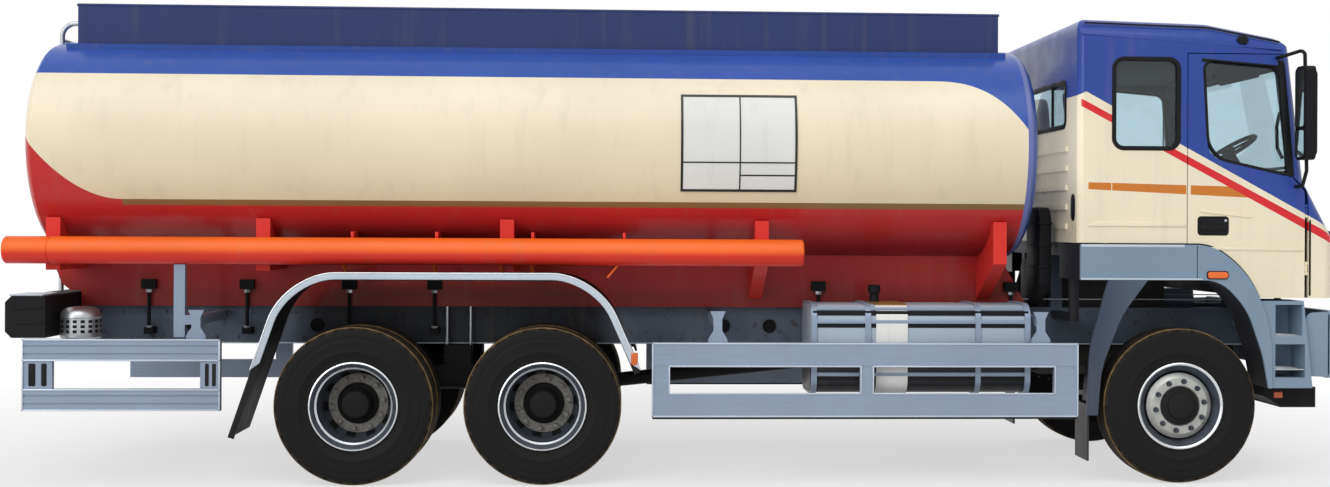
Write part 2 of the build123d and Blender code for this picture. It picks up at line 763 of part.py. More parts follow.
# Front fenders: arched bands with liners, mudflaps and the step box
fender_rear_x = 2588
fender_gap = 9
fender_inner_y = cab_half + 3
fender_outer_y = fender_inner_y + 22
liner_inner_y = 900
liner_wall = 14
fender_foot_z = 631
arch_line = ((fender_rear_x, 1340), (3520, 1340), (3700, 1155), (3806, 850), (3846, fender_foot_z))
arch_radii = (250, 500, 700)
band_line = (
    (fender_rear_x, cab_deck_z - fender_gap),
    *((x - fender_gap, z - fender_gap) for x, z in reversed(wheel_edge[1:])),
    (3862, 1060),
    (3871, fender_foot_z),
)
band_radii = (330, 600, 900)
rear_arch_line = ((2708, 454), (2730, 760), (2865, 1110), (3040, 1345))
rear_arch_radii = (700, 600)
rear_band_line = ((2775, 1345), (2650, 900), (2634, 454))
with BuildPart() as front_fenders:
    with BuildSketch(Plane.XZ.offset(fender_inner_y)):
        with BuildLine():
            FilletPolyline(*band_line, radius=band_radii)
            FilletPolyline(*arch_line, radius=arch_radii)
            Line(band_line[0], arch_line[0])
            Line(band_line[-1], arch_line[-1])
        make_face()
        with BuildLine():
            FilletPolyline(*rear_arch_line, radius=rear_arch_radii)
            FilletPolyline(*rear_band_line, radius=900)
            Line(rear_arch_line[-1], rear_band_line[0])
            Line(rear_band_line[-1], rear_arch_line[0])
        make_face()
    extrude(amount=fender_outer_y - fender_inner_y)
    for line, radii in ((arch_line, arch_radii), (rear_arch_line, rear_arch_radii)):
        with BuildSketch(Plane.XZ.offset(liner_inner_y)):
            with BuildLine():
                FilletPolyline(*line, radius=radii)
                offset(amount=liner_wall, side=Side.LEFT)
            make_face()
        extrude(amount=fender_outer_y - liner_inner_y)
    with BuildSketch(Plane.XZ.offset(fender_inner_y - 270)):
        with BuildLine():
            Polyline(
                (3765, 1150), (3790, 1205), (4085, 1205), (4147, fender_foot_z), (3850, fender_foot_z),
                (3816, 850),
                close=True,
            )
        make_face()
    extrude(amount=275)
    for tread in (((3895, 4075), (975, 1180)), ((3895, 4095), (700, 920))):
        block(tread[0], (-fender_outer_y - 55, -fender_inner_y + 230), tread[1], Mode.SUBTRACT)
    block((2650, 2662), (-1200, -liner_inner_y), (150, 520))
    block((2650, 2702), (-1200, -liner_inner_y), (460, 520))
    block(
        (fender_rear_x, fender_rear_x + liner_wall),
        (-fender_inner_y - 5, -710),
        (1340, cab_deck_z - fender_gap),
    )
    bracket_x = (fender_rear_x + 12, fender_rear_x + 72)
    block(bracket_x, (-950, -rail_outer_y), (1050, 1100))
    block(bracket_x, (-950, -liner_inner_y - 5), (1050, 1345))
    block((3900, 3960), (-970, -rail_outer_y), (1000, 1060))
    mirror(about=Plane.XZ)
finish(front_fenders, "front_fenders")

# Cab floor with its raised rear deck and the two tilt lugs
with BuildPart() as cab_floor:
    add(cab_shell)
    with BuildSketch(Plane.XY.offset(1000)):
        with Locations(((cab_rear_x + cab_wall + cab_front_x - cab_wall) / 2, 0)):
            Rectangle(cab_front_x - cab_rear_x - 2 * cab_wall, 2 * (cab_half - cab_wall - door_gap))
    extrude(amount=1640 - 1000, mode=Mode.INTERSECT)
    block((3900, 4300), (-cab_half, cab_half), (cab_sill_z + cab_wall, 1700), Mode.SUBTRACT)
    for lug_y in (rail_mid_y, -rail_mid_y):
        block((tilt_x - 24, tilt_x + 15), (lug_y - 14, lug_y + 14), (tilt_z - 24, cab_sill_z + 5))
        rod((tilt_x, lug_y - 14, tilt_z), (tilt_x, lug_y + 14, tilt_z), 24)
        rod((tilt_x, lug_y - 20, tilt_z), (tilt_x, lug_y + 20, tilt_z), tilt_pin + running_gap, Mode.SUBTRACT)
    for edge_y in (-cab_half + cab_wall, cab_half - cab_wall - door_gap):
        block((cab_rear_x + cab_wall, door_rear_x - door_gap), (edge_y, edge_y + door_gap), (cab_deck_z, 1627))
finish(cab_floor, "cab_floor")

# Cab back wall with its window and pressed ribs
with BuildPart() as cab_back_wall:
    add(cab_shell)
    block((2000, cab_rear_x + cab_wall), (-2000, 2000), (1000, roof_split_z), Mode.INTERSECT)
    with BuildSketch(Plane.YZ.offset(cab_rear_x - 50)):
        with Locations((0, (back_window[0][1] + back_window[1][1]) / 2)):
            RectangleRounded(back_window[1][0] - back_window[0][0], back_window[1][1] - back_window[0][1], 70)
    extrude(amount=cab_wall + 100, mode=Mode.SUBTRACT)
    for rib_z in (2210, 2080, 1950, 1820, 1690):
        block((cab_rear_x - 12, cab_rear_x + 5), (-back_half - 30, back_half + 30), (rib_z - 18, rib_z + 18))
finish(cab_back_wall, "cab_back_wall")

# Cab sides behind the doors, with their windows
side_hole = prism(side_window, 75, 0, -2000, 2000)
with BuildPart() as cab_sides:
    add(cab_shell)
    block((cab_rear_x + cab_wall, door_rear_x - door_gap), (-2000, 2000), (1000, roof_split_z), Mode.INTERSECT)
    block(
        (2000, 5000), (cab_wall - cab_half, cab_half - cab_wall), (1000, roof_split_z + 10), Mode.SUBTRACT
    )
    add(side_hole, mode=Mode.SUBTRACT)
finish(cab_sides, "cab_sides")

# Cab roof
with BuildPart() as cab_roof:
    add(cab_shell)
    block((2000, 5000), (-2000, 2000), (roof_split_z, 4000), Mode.INTERSECT)
finish(cab_roof, "cab_roof")

# Cab front: pillars, screen opening, grille and the doors' hinge pins
with BuildPart() as cab_front:
    add(cab_shell)
    add(prism(front_outline, 0, 0, -2000, 2000), mode=Mode.INTERSECT)
    block(
        (3000, cab_front_x - cab_wall),
        (cab_wall + door_gap - cab_half, cab_half - cab_wall - door_gap),
        (1000, cab_sill_z + cab_wall),
        Mode.SUBTRACT,
    )
    with BuildSketch(Plane.YZ.offset(3700)):
        with Locations((0, (screen_low + screen_high) / 2)):
            RectangleRounded(2 * screen_half, screen_high - screen_low, 80)
    extrude(amount=800, mode=Mode.SUBTRACT)
    block((cab_front_x - 25, cab_front_x + 10), (-700, 700), (1290, 1530), Mode.SUBTRACT)
    for bar_z in (1330, 1390, 1450, 1510):
        block((cab_front_x - 30, cab_front_x - 5), (-705, 705), (bar_z - 15, bar_z + 5))
    for pin_z in (1420, 1800):
        for pin_y in (-hinge_y, hinge_y):
            rod((hinge_x, pin_y, pin_z - 44), (hinge_x, pin_y, pin_z + 44), door_pin)
            for end_z in (pin_z - 44, pin_z + 24):
                rod((hinge_x, pin_y, end_z), (hinge_x, pin_y, end_z + 20), 10)
                block((hinge_x, jamb_x + 8), (pin_y - 5, pin_y + 5), (end_z, end_z + 20))
finish(cab_front, "cab_front")

# Right door, then the left one mirrored
with BuildPart() as door_right:
    add(cab_outer)
    add(prism(door_outline, 0, 0, -2000, cab_wall - cab_half), mode=Mode.INTERSECT)
    add(prism(door_window, door_window_radii, 0, -2000, 0), mode=Mode.SUBTRACT)
    for pin_z in (1420, 1800):
        rod((hinge_x, -hinge_y, pin_z - 20), (hinge_x, -hinge_y, pin_z + 20), 10)
        block((door_front_x - 8, hinge_x), (-hinge_y - 5, -hinge_y + 5), (pin_z - 20, pin_z + 20))
        rod(
            (hinge_x, -hinge_y, pin_z - 40),
            (hinge_x, -hinge_y, pin_z + 40),
            door_pin + running_gap,
            Mode.SUBTRACT,
        )
finish(door_right, "door_right")

with BuildPart() as door_left:
    mirror(door_right.part, about=Plane.XZ)
finish(door_left, "door_left")

with BuildPart() as door_glass_right:
    add(prism(door_window, door_window_radii, seat_gap, -cab_half + glass_out, -cab_half + glass_in))
finish(door_glass_right, "door_glass_right")

with BuildPart() as door_glass_left:
    mirror(door_glass_right.part, about=Plane.XZ)
finish(door_glass_left, "door_glass_left")

# Cab glass: screen, side panes and the rear pane
with BuildPart() as cab_glass:
    add(cab_form(glass_out) - cab_form(glass_in))
    with BuildSketch(Plane.YZ.offset(3900)):
        with Locations((0, (screen_low + screen_high) / 2)):
            RectangleRounded(2 * (screen_half - seat_gap), screen_high - screen_low - 2 * seat_gap, 80)
    extrude(amount=500, mode=Mode.INTERSECT)
    add(prism(side_window, 75, seat_gap, -cab_half + glass_out, -cab_half + glass_in))
    add(prism(side_window, 75, seat_gap, cab_half - glass_in, cab_half - glass_out))
    with BuildSketch(Plane.YZ.offset(cab_rear_x + glass_out)):
        with Locations((0, (back_window[0][1] + back_window[1][1]) / 2)):
            RectangleRounded(
                back_window[1][0] - back_window[0][0] - 2 * seat_gap,
                back_window[1][1] - back_window[0][1] - 2 * seat_gap,
                70,
            )
    extrude(amount=glass_in - glass_out)
finish(cab_glass, "cab_glass")

# Dashboard against the front wall, with the steering column
hub = Vector(*wheel_hub)
column_way = Vector(sin(radians(wheel_tilt)), 0, -cos(radians(wheel_tilt)))
column_top = hub + column_way * 30
with BuildPart() as dashboard:
    block((3800, cab_front_x), (-cab_half, cab_half), (1850, 2010))
    add(cab_form(cab_wall + seat_gap), mode=Mode.INTERSECT)
    rod(column_top, hub + column_way * 300, 32)
    rod(column_top - column_way * 20, column_top + column_way * 10, 10)
finish(dashboard, "dashboard")

# Steering wheel
with BuildPart() as steering_wheel:
    with Locations(Plane(origin=hub, z_dir=-column_way, x_dir=(0, 1, 0))):
        Torus(steering_radius, 14)
        Cylinder(45, 40)
        with PolarLocations(0, 3):
            with Locations((steering_radius / 2, 0, 0)):
                Box(steering_radius, 26, 14)
    rod(hub + column_way * 10, column_top - column_way * 0.5, 30)
    rod(column_top - column_way * 24, column_top + column_way * 5, 10 + running_gap, Mode.SUBTRACT)
finish(steering_wheel, "steering_wheel")

# Seats on the raised deck
with BuildPart() as seats:
    for seat_y in (-600, 600):
        block((2860, 3300), (seat_y - 190, seat_y + 190), (1627, 1860))
        block((2800, 3340), (seat_y - 250, seat_y + 250), (1850, 1990))
        with BuildSketch(Plane.XZ.offset(-seat_y - 250)):
            with BuildLine():
                FilletPolyline(
                    (2780, 1860), (2900, 1860), (2810, 2680), (2690, 2680), radius=(10, 10, 45, 45), close=True
                )
            make_face()
        extrude(amount=500)
finish(seats, "seats")

# Mirrors on the doors
with BuildPart() as mirror_right:
    with BuildLine() as arm:
        FilletPolyline(
            (3900, -cab_half, 2807),
            (3900, -cab_half - 80, 2807),
            (4030, -cab_half - 140, 2850),
            (4045, -cab_half - 140, 2060),
            (4030, -cab_half - 110, 1960),
            (4030, -cab_half, 1960),
            radius=28,
        )
    with BuildSketch(Plane(origin=(3900, -cab_half, 2807), z_dir=(0, -1, 0))):
        Circle(12)
    sweep(path=arm.line)
    with BuildSketch(Plane.YZ.offset(4000)) as head:
        with Locations((-cab_half - 147.5, 2435)):
            RectangleRounded(165, 610, 40)
    extrude(head.sketch, amount=70)
finish(mirror_right, "mirror_right")

with BuildPart() as mirror_left:
    mirror(mirror_right.part, about=Plane.XZ)
finish(mirror_left, "mirror_left")

# Wheels: profiles in radius and outboard offset, turned about each axle
bead = rim_radius - rim_wall
front_profile = (
    (0, 140), (85, 140), (85, 110), (172, 104), (bead, 60), (bead, rim_half + flange_wall),
    (flange_radius, rim_half + flange_wall), (flange_radius, rim_half), (rim_radius, rim_half),
    (rim_radius, -rim_half), (flange_radius, -rim_half), (flange_radius, -rim_half - flange_wall),
    (bead, -rim_half - flange_wall), (bead, 40), (165, 84), (100, 88), (100, -12), (205, -12),
    (205, -105), (175, -105), (175, -30), (100, -30), (100, -34),
    (stub_radius + running_gap, -34), (stub_radius + running_gap, 100), (0, 100),
)
inner = -twin_spacing
nut_count = 10
nut_radius = 17
nut_height = 30
front_nut_face = 96
front_nut_pitch = 160
rear_nut_face = -128
rear_nut_pitch = 162
hand_hole_count = 8
hand_hole_pitch = 211
hand_hole_length = 70
hand_hole_width = 24
hand_hole_depth = 215
rear_profile = (
    (0, 20), (100, 20), (100, -125), (190, -125), (bead, -70), (bead, rim_half + flange_wall),
    (flange_radius, rim_half + flange_wall), (flange_radius, rim_half), (rim_radius, rim_half),
    (rim_radius, -rim_half), (flange_radius, -rim_half), (flange_radius, -rim_half - flange_wall),
    (bead, -rim_half - flange_wall), (bead, -92), (196, -140), (196, -150), (bead, inner + 90),
    (bead, inner + rim_half + flange_wall), (flange_radius, inner + rim_half + flange_wall),
    (flange_radius, inner + rim_half), (rim_radius, inner + rim_half), (rim_radius, inner - rim_half),
    (flange_radius, inner - rim_half), (flange_radius, inner - rim_half - flange_wall),
    (bead, inner - rim_half - flange_wall), (bead, inner + 68), (190, -166), (110, -166), (110, -230),
    (205, -230), (205, -400), (180, -400), (180, -248), (75, -248), (75, -330),
    (spindle_radius + running_gap, -330), (spindle_radius + running_gap, 5), (0, 5),
)
wheel_table = (
    {"name": "front_wheel_right", "x": front_axle_x, "side": -1, "y": front_tyre_y, "twin": False},
    {"name": "front_wheel_left", "x": front_axle_x, "side": 1, "y": front_tyre_y, "twin": False},
    {"name": "mid_wheel_right", "x": first_rear_x, "side": -1, "y": rear_tyre_y, "twin": True},
    {"name": "mid_wheel_left", "x": first_rear_x, "side": 1, "y": rear_tyre_y, "twin": True},
    {"name": "rear_wheel_right", "x": second_rear_x, "side": -1, "y": rear_tyre_y, "twin": True},
    {"name": "rear_wheel_left", "x": second_rear_x, "side": 1, "y": rear_tyre_y, "twin": True},
)
for row in wheel_table:
    centre = (row["x"], row["side"] * row["y"], axle_z)
    plane = Plane(origin=centre, x_dir=(1, 0, 0), z_dir=(0, 0, row["side"]))
    turn = Axis(centre, (0, 1, 0))
    with BuildPart() as wheel:
        with BuildSketch(plane):
            with BuildLine():
                Polyline(*(rear_profile if row["twin"] else front_profile), close=True)
            make_face()
        revolve(axis=turn)
        disc = Plane(origin=centre, x_dir=(1, 0, 0), z_dir=(0, row["side"], 0))
        face, pitch = (rear_nut_face, rear_nut_pitch) if row["twin"] else (front_nut_face, front_nut_pitch)
        with BuildSketch(disc.offset(face)):
            with PolarLocations(pitch, nut_count):
                RegularPolygon(nut_radius, 6)
        extrude(amount=nut_height)
        if row["twin"]:
            with BuildSketch(disc.offset(-hand_hole_depth)):
                with PolarLocations(hand_hole_pitch, hand_hole_count):
                    SlotOverall(hand_hole_length, hand_hole_width, rotation=90)
            extrude(amount=hand_hole_depth, mode=Mode.SUBTRACT)
    finish(wheel, row["name"])
    with BuildPart() as tyre:
        for shift in (0, inner) if row["twin"] else (0,):
            with BuildSketch(plane):
                with BuildLine():
                    bead_in = rim_radius + seat_gap
                    Polyline(
                        (292, shift - rim_half + 2),
                        (bead_in, shift - rim_half + 4),
                        (bead_in, shift + rim_half - 4),
                        (292, shift + rim_half - 2),
                    )
                    ThreePointArc(
                        (292, shift + rim_half - 2), (390, shift + tyre_half_width), (490, shift + 112)
                    )
                    Polyline(
                        (490, shift + 112), (tyre_radius, shift + 92), (tyre_radius, shift - 92), (490, shift - 112)
                    )
                    ThreePointArc(
                        (490, shift - 112), (390, shift - tyre_half_width), (292, shift - rim_half + 2)
                    )
                make_face()
            revolve(axis=turn)
    finish(tyre, row["name"].replace("wheel", "tyre"))

# Steering knuckles: kingpin, yoke and stub
for name, side in (("knuckle_right", -1), ("knuckle_left", 1)):
    pin_y = side * kingpin_y
    web = sorted((side * 1016, side * 1040))
    arm = sorted((pin_y, side * 1040))
    with BuildPart() as knuckle:
        rod((front_axle_x, pin_y, axle_z - 110), (front_axle_x, pin_y, axle_z + 110), kingpin_radius)
        for low in (axle_z - 110, axle_z + 65):
            rod((front_axle_x, pin_y, low), (front_axle_x, pin_y, low + 45), 52)
            block((front_axle_x - 45, front_axle_x + 45), arm, (low, low + 45))
        block((front_axle_x - 45, front_axle_x + 45), web, (axle_z - 110, axle_z + 110))
        rod((front_axle_x, side * 1030, axle_z), (front_axle_x, side * (front_tyre_y + 95), axle_z), stub_radius)
    finish(knuckle, name)
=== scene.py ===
"""A three-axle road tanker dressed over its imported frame: livery, glass, wheels, trim and studio."""

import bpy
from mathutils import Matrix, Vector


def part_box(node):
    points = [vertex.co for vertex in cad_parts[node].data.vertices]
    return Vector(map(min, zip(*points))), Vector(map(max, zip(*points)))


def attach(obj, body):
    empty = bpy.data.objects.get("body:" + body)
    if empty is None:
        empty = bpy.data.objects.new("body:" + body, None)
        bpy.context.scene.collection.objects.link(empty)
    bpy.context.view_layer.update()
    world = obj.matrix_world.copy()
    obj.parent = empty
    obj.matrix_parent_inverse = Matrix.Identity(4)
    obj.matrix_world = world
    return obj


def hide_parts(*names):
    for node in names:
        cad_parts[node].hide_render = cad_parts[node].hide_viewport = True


bl_info = {
    "name": "Road Tanker",
    "version": (1, 0, 0),
    "blender": (4, 5, 0),
    "location": "View3D > Sidebar > Tanker",
    "description": "Dresses a three-axle road tanker over its packed frame",
    "category": "Add Mesh",
}

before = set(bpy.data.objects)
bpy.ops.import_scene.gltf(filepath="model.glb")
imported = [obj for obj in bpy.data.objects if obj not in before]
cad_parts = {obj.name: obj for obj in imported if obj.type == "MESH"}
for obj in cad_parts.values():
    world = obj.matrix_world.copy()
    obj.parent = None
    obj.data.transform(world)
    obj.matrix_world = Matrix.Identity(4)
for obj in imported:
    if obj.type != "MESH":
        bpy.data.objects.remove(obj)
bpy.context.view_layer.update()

import math

import bmesh
import bpy
from bpy.props import FloatProperty, FloatVectorProperty, PointerProperty
from mathutils import Matrix, Vector

SIDES = {"right": -1, "left": 1}
X_AXIS = Vector((1, 0, 0))
Y_AXIS = Vector((0, 1, 0))
Z_AXIS = Vector((0, 0, 1))


def linear(code):
    """An sRGB hex colour as linear RGBA."""
    parts = [int(code[place:place + 2], 16) / 255 for place in (0, 2, 4)]
    return (*[p / 12.92 if p <= 0.04045 else ((p + 0.055) / 1.055) ** 2.4 for p in parts], 1.0)


def colour(name, description, code):
    """A colour setting with its default from an sRGB hex value."""
    return FloatVectorProperty(
        name=name, description=description, subtype="COLOR", size=4, min=0, max=1, default=linear(code)
    )


def length(name, description, metres):
    """A length setting in metres."""
    return FloatProperty(name=name, description=description, unit="LENGTH", default=metres)


class TankerColours(bpy.types.PropertyGroup):
    """Colours of the tanker's paints, plastics and lamps."""

    cream: colour("Cream", "Broad band along the tank", "EFE4CB")
    # Painted shade: the cream drawn darker and warmer towards its foot, where the side turns under, with a
    # little road dust
    cream_foot_shade: colour("Cream foot", "Cream where road film gathers", "E2CBA0")
    tank_blue: colour("Tank blue", "Top of the tank", "2F53A8")
    # Painted highlight: the blue head's rounded rim drawn lighter than the head's own blue
    rim_highlight_blue: colour("Rim blue", "Rounded rim at the tank's front", "6A74AE")
    ledge_blue: colour("Ledge blue", "Ledge below the coaming", "2B4A96")
    navy: colour("Navy", "Coaming round the walkway", "2B3767")
    tank_red: colour("Tank red", "Belly of the tank and its bearers", "C22E2D")
    bracket_red: colour("Bracket red", "Ribs and tabs that hold the hose tubes", "DC352D")
    brown: colour("Brown", "Thin line between cream and red", "8A673A")
    hose_top: colour("Hose tube top", "Upper half of the hose tubes", "F56A22")
    # Painted shade: the tubes' underside drawn redder than their orange top
    hose_shade_red: colour("Hose tube foot", "Lower half of the hose tubes", "DE3526")
    cab_blue: colour("Cab blue", "Upper cab", "2C4698")
    cab_cream: colour("Cab cream", "Lower cab", "EBE0C6")
    stripe_red: colour("Stripe red", "Diagonal stripe on the cab", "D62830")
    gold: colour("Gold", "Level stripe on the cab", "C9772C")
    fender_grey: colour("Fender grey", "Fenders and bumper", "7E92A6")
    guard_grey: colour("Guard grey", "Side guards and the fuel tank's cage", "8E9DB2")
    panel_grey: colour("Panel grey", "The fuel tank between its bars", "A9B7C5")
    # Painted highlight: lips and edge strips drawn in a lighter grey for light caught on edges
    lip_highlight_grey: colour("Lip grey", "Bright edges of guards and fenders", "C2CDD9")
    sign_white: colour("Sign white", "Blank sign panels and plates", "E3E3E0")
    frame_grey: colour("Frame grey", "Ladder frame", "5A6676")
    black: colour("Black", "Black paint and moulded plastic", "1A1B1E")
    rubber: colour("Rubber", "Tyres, flaps and window seals", "1C1C1D")
    silver: colour("Silver", "Wheel discs", "B4B6B2")
    dust: colour("Dust", "Road dust low on the truck", "8C8069")
    # Also painted shade: beside the wheels on the frame and low on the fuel tank
    lining_and_shade_black: colour("Arch black", "Linings inside the fenders", "1E2029")
    painted_leg_shade: colour("Arch navy", "Shaded rear legs of the fenders", "343C4E")
    lining: colour("Lining", "Inside of the cab", "3A485A")
    amber: colour("Amber", "Turn lamps", "E2651E")
    lamp_red: colour("Lamp red", "Rear lamps", "B3141A")
    glass: colour("Glass", "Tint of the panes", "D4E5EB")


class TankerSizes(bpy.types.PropertyGroup):
    """Sizes of the trim that is added over the frame."""

    seal: length("Seal", "Width of the rubber round each window", 0.030)
    bolt: length("Bolt", "Radius of the frame's bolt heads", 0.014)
    wheel_nut: length("Wheel nut", "Radius of the wheel nuts", 0.014)


class StageSettings(bpy.types.PropertyGroup):
    """Camera and light."""

    camera_x: length("Camera X", "Place of the camera along the truck", -0.42)
    camera_y: length("Camera Y", "Place of the camera beside the truck", -12.25)
    camera_z: length("Camera Z", "Height of the camera", 1.686)
    lens: FloatProperty(name="Lens", description="Focal length", unit="CAMERA", default=46.15)
    sun: FloatProperty(name="Sun", description="Strength of the soft key light", default=1.25, min=0)
    gap: FloatProperty(
        name="Gap", description="Power of the lamp behind the cab", unit="POWER", default=1.6, min=0
    )
    fill: FloatProperty(name="Fill", description="Strength of the low rear light", default=0.75, min=0)
    sky: FloatProperty(name="Sky", description="Strength of the light from all round", default=0.46, min=0)


def colours():
    return bpy.context.scene.tanker_colours


def sizes():
    return bpy.context.scene.tanker_sizes


# Materials

def add_node(tree, kind, inputs=(), output=0, **settings):
    """Add a node with its settings, set or link its inputs, and give back one of its outputs."""
    node = tree.nodes.new("ShaderNode" + kind)
    for name, value in settings.items():
        setattr(node, name, value)
    for socket, value in inputs.items() if isinstance(inputs, dict) else enumerate(inputs):
        if isinstance(value, bpy.types.NodeSocket):
            tree.links.new(value, node.inputs[socket])
        else:
            node.inputs[socket].default_value = value
    return node.outputs[output]


LAID_OVER = {"data_type": "RGBA"}
MULTIPLIED = {"data_type": "RGBA", "blend_type": "MULTIPLY"}


def per_metre(millimetres):
    """Pattern scale for features of a real size."""
    return 1000 / millimetres


def start_material(name, **values):
    """A material with its shader's plain values set; returns its tree, shader and object coordinates."""
    material = bpy.data.materials.new(name)
    material.use_nodes = True
    tree = material.node_tree
    shader = tree.nodes["Principled BSDF"]
    for socket, value in {"Specular_IOR_Level": 0.2, **values}.items():
        shader.inputs[socket.replace("_", " ")].default_value = value
    return material, tree, shader, add_node(tree, "TexCoord", output="Object")


def patches(tree, place, millimetres, low, high, least, most, detail=3.0):
    """Soft patches of a real size, their strength held between two values."""
    cloud = add_node(tree, "TexNoise", {"Vector": place, "Scale": per_metre(millimetres), "Detail": detail})
    return add_node(tree, "MapRange", (cloud, low, high, least, most))


def layered(tree, base, *layers):
    """Lay colours over a base one after another, each through its own mask."""
    for mask, over in layers:
        base = add_node(tree, "Mix", {0: mask, 6: base, 7: over}, 2, **LAID_OVER)
    return base


def overlap(tree, mask, *others):
    """A mask of the places that several masks share."""
    for other in others:
        mask = add_node(tree, "Math", (mask, other), operation="MULTIPLY")
    return mask


def weathered(tree, shader, place, base, rough=0.35, dust=0.2, grain=4.0, bump=0.05, streaks=0.10):
    """Give a base colour broad fading, rain streaks, low road dust and a fine surface grain."""
    height = add_node(tree, "SeparateXYZ", (place,), "Z")
    fade = patches(tree, place, 900, 0.3, 0.7, 0.93, 1.04)
    faded = add_node(tree, "Mix", {0: 1.0, 6: base, 7: fade}, 2, **MULTIPLIED)
    narrow = add_node(tree, "Mapping", {"Vector": place, "Scale": (9.0, 9.0, 0.7)})
    streak = patches(tree, narrow, 700, 0.55, 0.75, 0.0, streaks)
    low = add_node(tree, "MapRange", (height, 0.15, 1.35, dust, 0.0))
    patch = patches(tree, place, 260, 0.35, 0.75, 0.25, 1.3, 6.0)
    film = add_node(tree, "Math", (low, patch), operation="MULTIPLY")
    dusted = layered(tree, faded, (streak, colours().dust), (film, colours().dust))
    tree.links.new(dusted, shader.inputs["Base Color"])
    dull = add_node(tree, "MapRange", (patch, 0.2, 1.3, rough - 0.06, rough + 0.12))
    tree.links.new(dull, shader.inputs["Roughness"])
    fine = add_node(tree, "TexNoise", {"Vector": place, "Scale": per_metre(grain), "Detail": 2.0})
    relief = add_node(tree, "Bump", {"Strength": bump, "Distance": 0.002, "Height": fine})
    tree.links.new(relief, shader.inputs["Normal"])


def paint(name, setting, rough=0.32, coat=0.2, dust=0.2):
    """Two-pack enamel sprayed on sheet steel: glossy, faintly dimpled, dusty towards the road."""
    material, tree, shader, place = start_material(name, Coat_Weight=coat, Coat_Roughness=0.12)
    weathered(tree, shader, place, getattr(colours(), setting), rough, dust)
    return material


def split_paint(name, under, over, height, rough, coat, dust):
    """Enamel in two colours that meet at a height."""
    material, tree, shader, place = start_material(name, Coat_Weight=coat, Coat_Roughness=0.15)
    up = add_node(tree, "SeparateXYZ", (place,), "Z")
    above = add_node(tree, "Math", (up, height), operation="GREATER_THAN")
    low, high = getattr(colours(), under), getattr(colours(), over)
    base = add_node(tree, "Mix", {0: above, 6: low, 7: high}, 2, **LAID_OVER)
    weathered(tree, shader, place, base, rough, dust)
    return material


def above_line(tree, x, z, first, second):
    """1 above the line through two points of the side view, 0 below it."""
    slope = (second[1] - first[1]) / (second[0] - first[0])
    line = add_node(tree, "Math", (x, slope, first[1] - slope * first[0]), operation="MULTIPLY_ADD")
    return add_node(tree, "Math", (z, line), operation="GREATER_THAN")


def between(tree, value, low, high):
    """1 where a value lies between two limits."""
    above = add_node(tree, "Math", (value, low), operation="GREATER_THAN")
    below = add_node(tree, "Math", (value, high), operation="LESS_THAN")
    return add_node(tree, "Math", (above, below), operation="MULTIPLY")


def swept(tree, along, start, way, power, amount, level):
    """A level line that bends away past a station, by a power of the distance."""
    past = add_node(tree, "Math", (along, way, -way * start), operation="MULTIPLY_ADD")
    past = add_node(tree, "Math", (past, 0.0), operation="MAXIMUM")
    bend = add_node(tree, "Math", (past, power), operation="POWER")
    return add_node(tree, "Math", (bend, amount, level), operation="MULTIPLY_ADD")


def tank_paint(name):
    """Tank enamel in bands: blue crown, cream sides, a brown line and a red belly, swept at the ends;
    painted shade darkens the lower cream and the belly, and a painted highlight lightens the front rim.
    """
    material, tree, shader, place = start_material(name, Coat_Weight=0.2, Coat_Roughness=0.12)
    tint = colours()
    axes = add_node(tree, "SeparateXYZ", (place,)).node.outputs
    x, z = axes["X"], axes["Z"]
    red_top = swept(tree, x, RED_SWEEP_X, -1, 2.0, RED_SWEEP, CREAM_LOW_Z)
    blue_low = swept(tree, x, BLUE_SWEEP_X, 1, 2.8, -BLUE_SWEEP, BLUE_LOW_Z)
    # Painted shade with a little road dust: the cream darkens and warms from 2.5 m down to the brown line
    film = add_node(tree, "MapRange", (z, CREAM_LOW_Z, 2.5, 0.55, 0.0))
    cream = add_node(tree, "Mix", {0: film, 6: tint.cream, 7: tint.cream_foot_shade}, 2, **LAID_OVER)
    # Painted shade: the red belly darkens to near black towards its foot, where it turns under
    belly_painted_shade = add_node(tree, "MapRange", (z, 1.50, 1.70, 0.60, 0.0))
    limits = (
        (z, BROWN_LOW_Z), (x, RED_SWEEP_X), (z, red_top), (z, blue_low), (x, TANK_FRONT - RIM_WIDTH),
        (x, TANK_FRONT + RIM_ROUND),
    )
    over = [add_node(tree, "Math", pair, operation="GREATER_THAN") for pair in limits]
    line = add_node(tree, "Math", over[:2], operation="MULTIPLY")
    sides, crown, rim, head = over[2:]
    # The rim band at the front is a painted highlight, lighter than the blue head beyond it
    whole = layered(
        tree, tint.tank_red, (belly_painted_shade, linear("2E1A18")), (line, tint.brown), (sides, cream),
        (crown, tint.tank_blue), (rim, tint.rim_highlight_blue), (head, tint.tank_blue),
    )
    weathered(tree, shader, place, whole, 0.34, 0.1)
    return material


